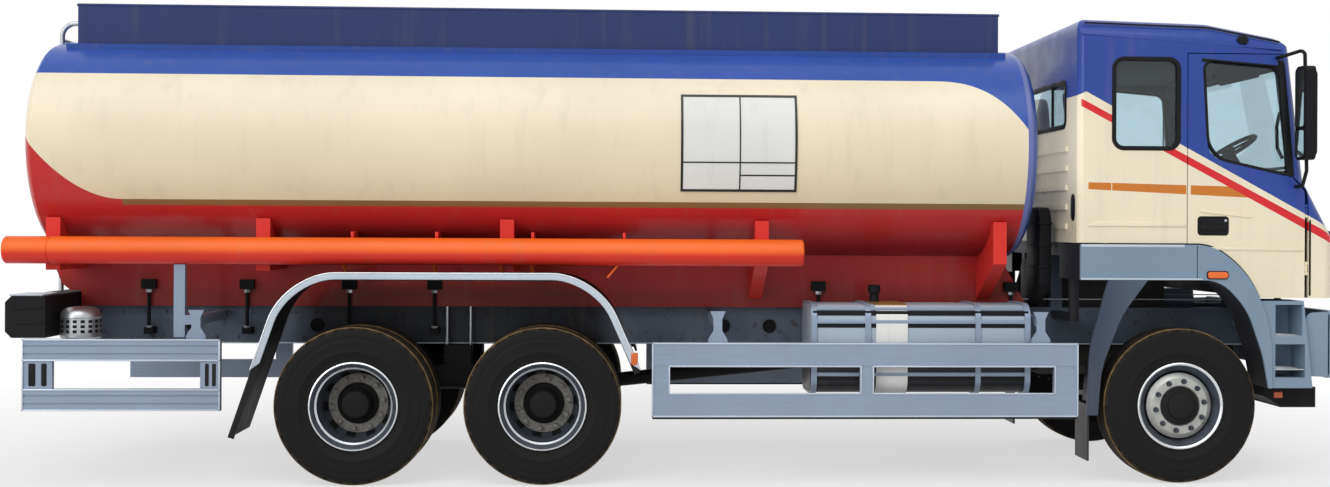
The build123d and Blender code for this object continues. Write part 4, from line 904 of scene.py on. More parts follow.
class TANKER_OT_stage(bpy.types.Operator):
    """Make the floor, the soft studio light and the camera"""

    bl_idname = "tanker.stage"
    bl_label = "Stage"

    def execute(self, context):
        settings = context.scene.tanker_stage
        context.scene.view_settings.view_transform = "Standard"
        self.make_floor()
        self.make_light(settings)
        self.make_camera(settings)
        return {"FINISHED"}

    def seen(self, tree):
        """1 for rays that show the backdrop: camera, glossy and transmission rays."""
        rays = add_node(tree, "LightPath").node.outputs
        direct = add_node(tree, "Math", (rays["Is Camera Ray"], rays["Is Glossy Ray"]), operation="MAXIMUM")
        return add_node(tree, "Math", (direct, rays["Is Transmission Ray"]), operation="MAXIMUM")

    def make_floor(self):
        """A pale floor that shows white to the camera and keeps the truck's shadow."""
        mesh = bmesh.new()
        below = Matrix.Translation((0, 0, -0.002))
        bmesh.ops.create_grid(mesh, x_segments=1, y_segments=1, size=60, matrix=below)
        data = bpy.data.meshes.new("floor")
        mesh.to_mesh(data)
        mesh.free()
        floor = bpy.data.objects.new("floor", data)
        bpy.context.scene.collection.objects.link(floor)
        material, tree, shader, place = start_material("studio_floor", Roughness=0.9)
        shader.inputs["Base Color"].default_value = linear("E4E4E2")
        glow = add_node(tree, "Emission", {"Color": (1, 1, 1, 1), "Strength": 1.0})
        away = add_node(tree, "VectorMath", (place,), "Value", operation="LENGTH")
        fade = add_node(tree, "MapRange", (away, 4.5, 9.0, 0.62, 1.0))
        share = add_node(tree, "Math", (self.seen(tree), fade), operation="MULTIPLY")
        both = add_node(tree, "MixShader", (share, shader.outputs[0], glow))
        tree.links.new(both, tree.nodes["Material Output"].inputs["Surface"])
        data.materials.append(material)

    def make_light(self, settings):
        """A soft key from above the camera, a low fill, a small lamp behind the cab and an even sky."""
        for name, energy, spread, way in (
            ("key", settings.sun, 50, (0.10, 0.62, -0.80)),
            ("fill", settings.fill, 30, (0.62, 0.70, -0.30)),
        ):
            lamp = bpy.data.lights.new(name, "SUN")
            lamp.energy = energy
            lamp.angle = math.radians(spread)
            light = bpy.data.objects.new(name, lamp)
            light.rotation_euler = Vector(way).to_track_quat("-Z", "Y").to_euler()
            bpy.context.scene.collection.objects.link(light)
        lamp = bpy.data.lights.new("gap", "AREA")
        lamp.shape = "RECTANGLE"
        lamp.size, lamp.size_y = 1.3, 0.7
        lamp.energy = settings.gap
        light = bpy.data.objects.new("gap", lamp)
        light.location = (2.395, -0.80, 2.30)
        light.rotation_euler = X_AXIS.to_track_quat("-Z", "Y").to_euler()
        light.visible_camera = False
        light.visible_glossy = False
        bpy.context.scene.collection.objects.link(light)
        world = bpy.data.worlds.new("studio")
        bpy.context.scene.world = world
        world.use_nodes = True
        tree = world.node_tree
        back = tree.nodes["Background"]
        back.inputs["Color"].default_value = (1, 1, 1, 1)
        level = add_node(tree, "MapRange", (self.seen(tree), 0.0, 1.0, settings.sky, 1.0))
        tree.links.new(level, back.inputs["Strength"])

    def make_camera(self, settings):
        """The photograph's view, square to the truck's right side."""
        lens = bpy.data.cameras.new("camera")
        lens.sensor_width = 36
        lens.lens = settings.lens
        lens.shift_x = -0.0334
        lens.shift_y = -0.0139
        camera = bpy.data.objects.new("camera", lens)
        camera.location = (settings.camera_x, settings.camera_y, settings.camera_z)
        camera.rotation_euler = (math.radians(90), math.radians(-0.3), math.radians(-3))
        bpy.context.scene.collection.objects.link(camera)
        bpy.context.scene.camera = camera


# Tank

def tank_half_section(steps=10):
    """The right half of the tank's section from crown to foot, as (distance out, height)."""
    points = []
    for (reach_out, height), way in ((SHOULDER, 1), (LOWER, -1)):
        run = TANK_HALF - reach_out
        rise = abs(height - TANK_MID_Z)
        radius = (run * run + rise * rise) / (2 * run)
        centre = TANK_HALF - radius
        turn = math.atan2(rise, reach_out - centre)
        drop = reach_out * rise / (reach_out - centre)
        cap = math.hypot(reach_out, drop)
        cap_turn = math.atan2(reach_out, drop)
        shares = [i / steps for i in range(steps + 1)]
        cap_arc = [
            (cap * math.sin(cap_turn * share), height + way * (cap * math.cos(cap_turn * share) - drop))
            for share in shares[:-1]
        ]
        side_arc = [
            (centre + radius * math.cos(bend), TANK_MID_Z + way * radius * math.sin(bend))
            for bend in (turn * (1 - share) for share in shares)
        ]
        quarter = cap_arc + side_arc
        points += quarter if way > 0 else quarter[-2::-1]
    return points


def tank_side_y(z):
    """How far out the tank's side is at a height."""
    reach_out, height = SHOULDER if z > TANK_MID_Z else LOWER
    run = TANK_HALF - reach_out
    rise = height - TANK_MID_Z
    radius = (run * run + rise * rise) / (2 * run)
    return TANK_HALF - radius + math.sqrt(radius * radius - (z - TANK_MID_Z) ** 2)


class TANKER_OT_tank(bpy.types.Operator):
    """Make the tank with its dished ends, collars, outlet and sign panels"""

    bl_idname = "tanker.tank"
    bl_label = "Tank"

    def execute(self, context):
        mesh = bmesh.new()
        self.shell(mesh)
        self.collars(mesh)
        self.outlet(mesh)
        add_piece(
            "tank_shell", mesh, "chassis",
            ("tank_enamel", "galvanised_steel", "cast_iron"), ("tank_barrel",),
        )
        self.signs()
        return {"FINISHED"}

    def shell(self, mesh):
        """The arc-built section pushed along the truck, rims rounded and ends dished."""
        half = tank_half_section()
        loop = half + [(-y, z) for y, z in half[-2:0:-1]]
        corners = [mesh.verts.new((TANK_REAR, y, z)) for y, z in loop]
        rear = mesh.faces.new(corners)
        pushed = bmesh.ops.extrude_face_region(mesh, geom=[rear])
        front = made_faces(pushed)[0]
        bmesh.ops.translate(mesh, vec=X_AXIS * (TANK_FRONT - TANK_REAR), verts=made_points(pushed))
        bmesh.ops.recalc_face_normals(mesh, faces=mesh.faces)
        for head in (rear, front):
            for inward, outward in ((0.012, 0.016), (0.05, 0.03), (0.12, 0.03), (0.24, 0.022)):
                bmesh.ops.inset_region(
                    mesh, faces=[head], thickness=inward, depth=outward, use_even_offset=True
                )

    def collars(self, mesh):
        """Manhole necks with a bolted flange and the lids' hinge ears."""
        for x in MANHOLES:
            add_lathe(mesh, COLLAR, (x, 0, 0), Z_AXIS, 48)
            ring = [math.tau * i / 16 for i in range(16)]
            places = [(x + 0.243 * math.cos(a), 0.243 * math.sin(a), 2.995) for a in ring]
            add_bolts(mesh, places, Z_AXIS, 0.011, 0.012, 1)
            for y in (-0.060, 0.033):
                add_box(mesh, (x - 0.305, x - 0.24), (y, y + 0.027), (2.92, 3.060), 0.003)

    def outlet(self, mesh):
        """The rear discharge pipe with its flange, bolts and hand lever."""
        add_lathe(mesh, OUTLET, (0, 0, OUTLET_Z), X_AXIS, 36, 1)
        ring = [math.tau * i / 8 for i in range(8)]
        places = [(-4.270, 0.068 * math.cos(a), OUTLET_Z + 0.068 * math.sin(a)) for a in ring]
        add_bolts(mesh, places, X_AXIS, 0.006, 0.008, 2)
        add_box(mesh, (-4.235, -4.175), (-0.085, 0.085), (1.31, 1.48), 0.012, 2)
        add_rod(mesh, (-4.205, 0, 1.47), (-4.205, 0, 1.54), 0.014, 16, 1)
        add_box(mesh, (-4.22, -4.19), (-0.16, 0.03), (1.53, 1.545), 0.005, 2)

    def signs(self):
        """Blank sign panels bent to the tank's sides, framed and divided by black lines."""
        x, z = (-0.029, 0.729), (1.904, 2.535)
        mid_x, mid_z, low_z, line, border = 0.352, 2.088, 2.006, 0.009, 0.016
        rules = ((x, (z[0], z[0] + border)), (x, (z[1] - border, z[1])))
        rules += ((x, (mid_z, mid_z + line)), ((mid_x, x[1]), (low_z, low_z + line)))
        for side, way in SIDES.items():
            mesh = bmesh.new()
            self.strip(mesh, way, x, z, 0.003, 0)
            for span, up in rules:
                self.strip(mesh, way, span, up, 0.005, 1)
            for left, width in ((x[0], border), (mid_x, line), (x[1] - border, border)):
                self.strip(mesh, way, (left, left + width), z, 0.005, 1)
            add_piece(f"sign_panel_{side}", mesh, "chassis", ("sign_enamel", "black_enamel"))

    def strip(self, mesh, way, x, z, lift, material):
        """A thin sheet bent to the tank's side between two stations and two heights."""
        known = set(mesh.faces)
        count = max(2, int((z[1] - z[0]) / 0.03))
        heights = [z[0] + (z[1] - z[0]) * i / count for i in range(count + 1)]
        points = [mesh.verts.new((x[0], way * (tank_side_y(h) + lift), h)) for h in heights]
        lines = [mesh.edges.new(pair) for pair in zip(points, points[1:])]
        pushed = bmesh.ops.extrude_edge_only(mesh, edges=lines)
        bmesh.ops.translate(mesh, vec=X_AXIS * (x[1] - x[0]), verts=made_points(pushed))
        sheet = [f for f in mesh.faces if f not in known]
        bmesh.ops.solidify(mesh, geom=sheet, thickness=way * 0.003)
        set_material(mesh, known, material)


class TANKER_OT_walkway(bpy.types.Operator):
    """Dress the walkway: navy coaming, edge beads and grating panels"""

    bl_idname = "tanker.walkway"
    bl_label = "Walkway"

    def execute(self, context):
        dress("walkway", "walkway_enamel")
        low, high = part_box("walkway")
        x = (low.x + 0.066, high.x - 0.046)
        deck = 2.945
        mesh = bmesh.new()
        for way in SIDES.values():
            bars = [way * (0.30 + 0.06 * i) for i in range(8)]
            for y in bars:
                add_box(mesh, (x[0] + 0.02, x[1] - 0.02), (y - 0.003, y + 0.003), (deck, deck + 0.025))
            count = int((x[1] - x[0]) / 0.12)
            for i in range(count):
                station = x[0] + 0.06 + 0.12 * i
                add_rod(mesh, (station, bars[0], deck + 0.02), (station, bars[-1], deck + 0.02), 0.004, 8)
        add_piece("walkway_grating", mesh, "chassis", ("galvanised_steel",))
        mesh = bmesh.new()
        top = high.z - 0.006
        edge = 0.744
        for way in SIDES.values():
            add_rod(mesh, (x[0] - 0.006, way * edge, top), (x[1] + 0.006, way * edge, top), 0.010, 12)
        for station in (x[0] - 0.006, x[1] + 0.006):
            add_rod(mesh, (station, -edge, top), (station, edge, top), 0.010, 12)
        add_piece("coaming_beads", mesh, "chassis", ("walkway_enamel",))
        return {"FINISHED"}


class TANKER_OT_lids(bpy.types.Operator):
    """Make the manhole lids with their hinges, clamps and handles"""

    bl_idname = "tanker.lids"
    bl_label = "Lids"

    def execute(self, context):
        for number, x in enumerate(MANHOLES, 1):
            mesh = bmesh.new()
            add_lathe(mesh, LID, (x, 0, 0), Z_AXIS, 48)
            pin = x - 0.285
            add_box(mesh, (pin, x - 0.20), (-0.028, 0.028), (3.0353, 3.060), 0.003)
            for half, radius, segments in ((0.028, 0.012, 20), (0.060, 0.008, 16)):
                add_rod(mesh, (pin, -half, LID_PIN_Z), (pin, half, LID_PIN_Z), radius, segments)
            for i in range(6):
                turn = math.tau * (i + 0.5) / 6
                spot = Vector((x + 0.226 * math.cos(turn), 0.226 * math.sin(turn), 3.058))
                add_rod(mesh, spot, spot + Z_AXIS * 0.016, 0.014, 6, 1)
            for y in (-0.055, 0.055):
                add_rod(mesh, (x + 0.06, y, 3.068), (x + 0.06, y, 3.088), 0.006, 10, 1)
            add_rod(mesh, (x + 0.06, -0.061, 3.086), (x + 0.06, 0.061, 3.086), 0.007, 10, 1)
            add_piece(
                f"manhole_lid_{number}", mesh, f"lid_{number}",
                ("galvanised_steel", "cast_iron"), (f"lid_{number}",),
            )
        return {"FINISHED"}


class TANKER_OT_hose_tubes(bpy.types.Operator):
    """Make the hose tubes with their caps and seam"""

    bl_idname = "tanker.hose_tubes"
    bl_label = "Hose tubes"

    def execute(self, context):
        low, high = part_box("hose_tubes")
        seam = -4.06
        groove = HOSE_RADIUS - 0.004
        profile = [(0.0, low.x + 0.004), (0.050, low.x + 0.004), (0.080, low.x)]
        profile += [(HOSE_RADIUS, low.x + 0.010), (HOSE_RADIUS, seam - 0.004)]
        profile += [(groove, seam - 0.003), (groove, seam + 0.003), (HOSE_RADIUS, seam + 0.004)]
        profile += [(HOSE_RADIUS, high.x - 0.010), (0.080, high.x), (0.0, high.x - 0.004)]
        mesh = bmesh.new()
        for way in SIDES.values():
            add_lathe(mesh, profile, (0, way * HOSE_Y, HOSE_Z), X_AXIS, 48)
        add_piece("hose_tube_pair", mesh, "chassis", ("hose_enamel",), ("hose_tubes",))
        return {"FINISHED"}


# Chassis

CHASSIS_FINISHES = {
    "frame_rails": "frame_steel",
    "crossmembers": "frame_steel",
    "axles": "cast_iron",
    "leaf_springs": "chassis_steel",
    "engine": "cast_iron",
    "propeller_shafts": "chassis_steel",
    "air_reservoirs": "chassis_steel",
    "battery_box": "black_polypropylene",
    "side_guard_posts": "guard_aluminium",
    "side_guard_rails": "guard_aluminium",
    "rear_mudguards": "black_polypropylene",
    "rear_bumper": "black_polypropylene",
    "front_bumper": "bumper_enamel",
    "front_underrun": "chassis_steel",
    "tank_bearers": "bearer_enamel",
    "tank_mounts": "chassis_steel",
    "rear_ladder": "galvanised_steel",
    "front_fenders": "fender_enamel",
    "knuckle_right": "cast_iron",
    "knuckle_left": "cast_iron",
}


class TANKER_OT_chassis(bpy.types.Operator):
    """Finish the chassis solids and add the frame's bolts, flange edges drawn bright as painted highlights,
    and mount nuts
    """

    bl_idname = "tanker.chassis"
    bl_label = "Chassis"

    def execute(self, context):
        for node, finish_name in CHASSIS_FINISHES.items():
            dress(node, finish_name)
        low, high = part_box("frame_rails")
        rail_y = high.y
        mesh = bmesh.new()
        for way in SIDES.values():
            places = []
            for i in range(56):
                x = low.x + 0.12 + 0.145 * i
                places += [(x, way * rail_y, 1.075), (x + 0.05, way * rail_y, 0.905)]
            add_bolts(mesh, places, Y_AXIS * way, sizes().bolt, 0.012)
            # Bright strips on the flanges' edges: painted highlights
            flange = (rail_y - 0.002, rail_y + 0.007)
            for z in (high.z - 0.009, low.z + 0.001):
                side_box(mesh, way, (low.x + 0.02, high.x - 0.02), flange, (z, z + 0.008), 0.002, 1)
            for x in (-3.33, -2.49, 0.30, 0.62):
                add_lathe(mesh, RAIL_HOLE, (x, way * rail_y, 0.985), Y_AXIS * way, 24, 2)
        add_piece(
            "frame_bolts", mesh, "chassis", ("frame_steel", "lip_highlight_enamel", "chassis_steel"),
        )
        mesh = bmesh.new()
        for way in SIDES.values():
            for x in MOUNTS:
                spot = Vector((x, way * 0.522, 1.212))
                add_rod(mesh, spot, spot + Z_AXIS * 0.020, 0.022, 6)
                add_rod(mesh, spot - Z_AXIS * 0.226, spot - Z_AXIS * 0.240, 0.022, 6)
        add_piece("mount_nuts", mesh, "chassis", ("galvanised_steel",))
        mesh = bmesh.new()
        for way in SIDES.values():
            for x in (-1.60, -1.44):
                add_rod(mesh, (x, way * 0.47, 0.70), (x, way * 0.47, 1.19), 0.011, 12)
                add_rod(mesh, (x, way * 0.41, 1.19), (x, way * 0.48, 1.19), 0.011, 12)
        add_piece("spring_bolts", mesh, "chassis", ("galvanised_steel",))
        return {"FINISHED"}


class TANKER_OT_guards(bpy.types.Operator):
    """Add the side guards' lips, drawn bright as painted highlights, and the dark channels of their posts
    and a strip under the front guard, drawn black as painted shade
    """

    bl_idname = "tanker.guards"
    bl_label = "Side guards"

    def execute(self, context):
        half = 0.005
        lips = [((rear, front), around(z, half)) for rear, front, levels in GUARD_LIPS for z in levels]
        lips += [(around(x, half), z) for x, z in GUARD_ENDS]
        # Bright lips on the guards' edges: painted highlights
        mesh = bmesh.new()
        for way in SIDES.values():
            for x, z in lips:
                side_box(mesh, way, x, (GUARD_Y - 0.002, GUARD_Y + 0.005), z, 0.002)
        add_piece("guard_lips", mesh, "chassis", ("strip_highlight_aluminium",))
        mesh = bmesh.new()
        # Black plates in the posts' slots and a black strip under the front guard: painted shade
        for way in SIDES.values():
            for x, z in GUARD_SLOTS:
                side_plate(mesh, way, rectangle(x, z), GUARD_Y - 0.008, 0.006, (0.01,) * 4, 0.002)
            side_box(mesh, way, (-0.205, 2.579), (GUARD_Y - 0.030, GUARD_Y + 0.001), (0.428, 0.4405), 0.003)
        add_piece("guard_slots", mesh, "chassis", ("seal_rubber",))
        return {"FINISHED"}


class TANKER_OT_fuel_tank(bpy.types.Operator):
    """Make the fuel tank in its cage of hoops and bars, with black strips under the bars as painted shadow,
    a broad strap and a filler
    """

    bl_idname = "tanker.fuel_tank"
    bl_label = "Fuel tank"

    def execute(self, context):
        x, y, z = FUEL_BOX
        run = (x[0] + 0.01, x[1] - 0.01)
        face = y[0]
        mesh = bmesh.new()
        add_plate(mesh, end_view(x[0], rectangle(y, z)), X_AXIS * (x[1] - x[0]), (0.10,) * 4, 0.012)
        for limits in FUEL_HOOPS:
            self.hoop(mesh, limits, 0.012, 1)
        self.hoop(mesh, FUEL_STRAP, 0.010, 2)
        for level in FUEL_BARS:
            add_box(mesh, run, (face - 0.011, face + 0.004), around(level, 0.013), 0.004, 1)
            # A black strip under each bar: painted shadow
            add_box(mesh, run, (face - 0.002, face + 0.010), (level - 0.040, level - 0.012), 0.001, 3)
        add_box(mesh, run, (face + 0.012, face + 0.036), (1.128, 1.150), 0.004, 1)
        # A black band under the top ledge: painted shadow
        add_box(mesh, run, (face - 0.001, face + 0.040), (1.098, 1.128), 0.001, 3)
        for arm in (1.10, 2.05):
            add_box(mesh, around(arm, 0.04), (y[1] - 0.06, -0.4295), (0.88, 1.08), 0.006, 3)
        add_lathe(mesh, FILLER, (1.30, -0.78, 0), Z_AXIS, 24, 3)
        add_piece(
            "fuel_tank_caged", mesh, "chassis",
            ("fuel_tank_enamel", "guard_aluminium", "strap_enamel", "black_polypropylene"), ("fuel_tank",),
        )
        return {"FINISHED"}

    def hoop(self, mesh, x, grow, material):
        """A rounded hoop round the tank's section."""
        points = end_view(x[0], rectangle(*FUEL_BOX[1:], grow))
        add_ring(mesh, points, grow + 0.004, X_AXIS * (x[1] - x[0]), (0.11,) * 4, 0.0, material)


class TANKER_OT_canister(bpy.types.Operator):
    """Make the domed canister with its square air holes, drawn as black squares: painted shade"""

    bl_idname = "tanker.canister"
    bl_label = "Canister"

    def execute(self, context):
        centre = Vector((-3.920, -0.960, 0))
        mesh = bmesh.new()
        add_lathe(mesh, CANISTER, centre, Z_AXIS, 48)
        for column in range(16):
            turn = Matrix.Rotation(math.tau * column / 16, 3, "Z")
            for level in (0.978, 1.010, 1.042):
                known = set(mesh.verts)
                depth = (centre.y - 0.1265, centre.y - 0.118)
                add_box(mesh, around(centre.x, 0.013), depth, around(level, 0.010), 0.002, 1, 1)
                moved = [v for v in mesh.verts if v not in known]
                bmesh.ops.rotate(mesh, verts=moved, cent=centre, matrix=turn)
        add_piece(
            "canister", mesh, "chassis", ("galvanised_steel", "chassis_steel"),
            ("exhaust_canister",),
        )
        return {"FINISHED"}


class TANKER_OT_mudguards(bpy.types.Operator):
    """Add the mudguards' aluminium edge strips, bright at their edge as painted highlights, side reflectors
    and the tubes' stays and tabs
    """

    bl_idname = "tanker.mudguards"
    bl_label = "Mudguards"

    def execute(self, context):
        skin = 1.236
        mesh = bmesh.new()
        for way in SIDES.values():
            for width, lift, material in ((0.046, 0.010, 0), (0.010, 0.015, 2)):
                add_ring(
                    mesh, on_side(MUDGUARD, way, skin), width, Y_AXIS * way * lift,
                    (0.0, 0.324, 0.296, 0.0), 0.003, material, 12, drop=(-1.5, way * skin, 0.744),
                )
            side_box(mesh, way, (-0.345, -0.300), (1.24, 1.252), (0.78, 0.86), 0.006, 1)
        add_piece(
            "mudguard_strips", mesh, "chassis",
            ("strip_highlight_aluminium", "lens_amber", "bright_edge_highlight"),
        )
        mesh = bmesh.new()
        foot = HOSE_Z - 0.080
        for way in SIDES.values():
            for x in TUBE_TABS:
                side_box(mesh, way, around(x, 0.010), (0.865, 1.10), (1.585, 1.632), 0.003)
            for x in TUBE_STAYS:
                top = (x, way * (HOSE_Y - 0.02), foot)
                add_rod(mesh, top, (x + 0.012, way * 1.06, 1.376), 0.012, 12, 1)
            add_rod(mesh, (-0.43, way * (HOSE_Y - 0.01), foot), (-0.50, way * 1.13, 1.34), 0.007, 10, 1)
        add_piece("hose_tube_stays", mesh, "chassis", ("bracket_red_enamel", "orange_enamel"))
        return {"FINISHED"}


class TANKER_OT_lamps(bpy.types.Operator):
    """Make the lamps, reflectors and blank plates, and the rear bumper's trim, whose bright top strip is a
    painted highlight
    """

    bl_idname = "tanker.lamps"
    bl_label = "Lamps"

    def execute(self, context):
        mesh = bmesh.new()
        for way in SIDES.values():
            self.rear_lamp(mesh, way, way * 0.925)
            self.headlamp(mesh, way, way * 0.930)
        add_piece(
            "lamp_clusters", mesh, "chassis",
            ("lens_red", "lens_amber", "lens_clear", "black_polypropylene"), ("lamps",),
        )
        mesh = bmesh.new()
        for x, z, depth in PLATES:
            add_plate(mesh, end_view(x, rectangle((-0.26, 0.26), z)), X_AXIS * depth, (0.012,) * 4, 0.0015)
        for way in SIDES.values():
            for row in BUMPER_TRIM:
                side_box(mesh, way, *row)
        add_piece(
            "blank_plates", mesh, "chassis",
            ("sign_enamel", "lip_highlight_enamel", "black_polypropylene", "lens_amber"),
        )
        return {"FINISHED"}

    def rear_lamp(self, mesh, way, centre):
        """Three lenses side by side in a black tray."""
        tray = (REAR_FACE + 0.006, REAR_FACE + 0.026)
        add_box(mesh, tray, around(centre, 0.175), (1.02, 1.14), 0.006, 3)
        for shift, width, material in REAR_LENSES:
            limits = around(centre + way * shift, width / 2)
            add_box(mesh, (REAR_FACE, REAR_FACE + 0.014), limits, (1.032, 1.128), 0.005, material)

    def headlamp(self, mesh, way, centre):
        """Two round bowls in a black tray, with an amber turn lamp at the outer end."""
        tray = (FRONT_FACE - 0.030, FRONT_FACE - 0.012)
        add_box(mesh, tray, around(centre, 0.15), (0.85, 1.01), 0.006, 3)
        for shift, radius in HEADLAMPS:
            profile = [(radius * share, FRONT_FACE + depth) for share, depth in BOWL]
            add_lathe(mesh, profile, (0, centre + way * shift, 0.93), X_AXIS, 32, 2)
        amber = (centre + way * 0.128, centre + way * 0.148)
        add_box(mesh, (FRONT_FACE - 0.014, FRONT_FACE - 0.003), amber, (0.862, 0.998), 0.004, 1)


class TANKER_OT_fenders(bpy.types.Operator):
    """Add the fenders' lamps, seams, treads and lips, the lips drawn bright as painted highlights, the
    bumper's returns and the intake duct
    """

    bl_idname = "tanker.fenders"
    bl_label = "Fenders"

    def execute(self, context):
        mesh = bmesh.new()
        for way in SIDES.values():
            side_plate(mesh, way, grown(FENDER_LAMP, 0.006), FENDER_Y - 0.002, 0.006, (0.02,) * 4, 0.002, 1)
            side_plate(mesh, way, FENDER_LAMP, FENDER_Y, 0.014, (0.018,) * 4, 0.006)
            for row in FENDER_EDGES:
                side_box(mesh, way, *row)
            for z, front in STEPS_UP:
                side_box(mesh, way, (3.895, front), (1.0, 1.226), (z + 0.048, z + 0.056), 0.002, 3)
                for i in range(6):
                    tread = around(way * (1.03 + 0.032 * i), 0.006)
                    add_box(mesh, (3.91, 4.06), tread, (z + 0.055, z + 0.061), 0.002, 3)
        add_piece(
            "fender_trim", mesh, "chassis",
            ("lens_amber", "seal_rubber", "lip_highlight_enamel", "galvanised_steel"),
        )
        mesh = bmesh.new()
        for way in SIDES.values():
            side_plate(mesh, way, BUMPER_RETURN, 1.160, 0.020, (0.03, 0.0, 0.0, 0.05), 0.006)
        add_piece("bumper_returns", mesh, "chassis", ("bumper_enamel",))
        mesh = bmesh.new()
        add_plate(mesh, end_view(2.440, INTAKE), X_AXIS * 0.085, (0.0, 0.05, 0.10, 0.10), 0.012)
        for z in (1.40, 1.55, 1.70):
            add_box(mesh, (2.434, 2.531), (-0.745, -0.37), (z, z + 0.02), 0.006)
        add_piece("intake_duct", mesh, "chassis", ("black_polypropylene",))
        return {"FINISHED"}


# Cab

CAB_FINISHES = {
    "cab_floor": "chassis_steel",
    "cab_back_wall": "cab_enamel",
    "cab_sides": "cab_enamel",
    "cab_roof": "cab_enamel",
    "cab_front": "cab_enamel",
    "door_right": "cab_enamel",
    "door_left": "cab_enamel",
    "cab_glass": "float_glass",
    "door_glass_right": "float_glass",
    "door_glass_left": "float_glass",
    "dashboard": "black_polypropylene",
    "steering_wheel": "black_polypropylene",
    "mirror_right": "black_polypropylene",
    "mirror_left": "black_polypropylene",
}

# Outlines on the cab's sides, in X and Z

DOOR_WINDOW = ((3.404, 2.789), (3.925, 2.745), (3.988, 2.025), (3.440, 2.150))
SIDE_WINDOW = ((2.803, 2.802), (3.253, 2.802), (3.253, 2.195), (2.803, 2.195))
ROOF_VENT = ((3.630, 2.925), (3.648, 2.897), (3.694, 2.895), (3.712, 2.922), (3.694, 2.952), (3.648, 2.954))
GRAB_BAR = ((4.02, 2.47), (3.965, 2.45), (3.945, 2.36), (3.950, 2.22), (3.985, 2.15))
CORNER_BAR = ((4.292, 1.668), (4.333, 1.652), (4.338, 1.60), (4.333, 1.512), (4.292, 1.496))
SIDE_SWAGE = ((2.64, 1.692), (3.295, 1.690), (3.295, 1.722), (2.70, 1.726))
PILLAR = ((3.905, 2.796), (3.950, 2.782), (4.020, 2.020), (3.966, 2.028))
WINDOW_TOP = ((3.395, 2.800), (3.920, 2.757), (3.915, 2.735), (3.395, 2.778))
HANDLE = ((3.376, 1.638), (3.578, 1.638), (3.578, 1.757), (3.376, 1.757))
HANDLE_BAR = ((3.388, 1.668), (3.566, 1.668), (3.566, 1.700), (3.388, 1.700))
DOOR_SWAGE = ((3.393, 1.786), (3.700, 1.752), (3.747, 1.756), (3.393, 1.806))
BELT = ((3.325, 1.540), (4.085, 1.532), (4.085, 1.552), (3.325, 1.560))

# The roof's crease as (X, inset, Z), and the mirror's place, faces and panes

ROOF_CREASE = ((2.62, 0.030, 3.030), (3.45, 0.036, 3.006), (3.93, 0.040, 2.918))
MIRROR_Y = CAB_HALF + 0.1475
MIRROR_X = (3.9995, 4.070)
MIRROR_PANES = ((2.345, 2.722), (2.148, 2.325))

# The screen's lean, and the ends' outlines in Y and Z

SCREEN_LEAN = Vector((0.9925, 0, 0.122))
SCREEN = ((-1.014, 2.046), (1.014, 2.046), (1.014, 2.774), (-1.014, 2.774))
REAR_PANE = ((-0.926, 2.345), (0.926, 2.345), (0.926, 2.680), (-0.926, 2.680))
WALL_SLOT = ((1.050, 1.725), (1.150, 1.725), (1.150, 1.905), (1.050, 1.905))
GRILLE = ((-0.715, 1.275), (0.715, 1.275), (0.715, 1.545), (-0.715, 1.545))
WIPERS = ((0.62, -0.10), (-0.06, -0.78))


def screen_x(z):
    """Where the screen's sloping face is at a height."""
    return 4.100 - 0.123 * (z - 2.0)


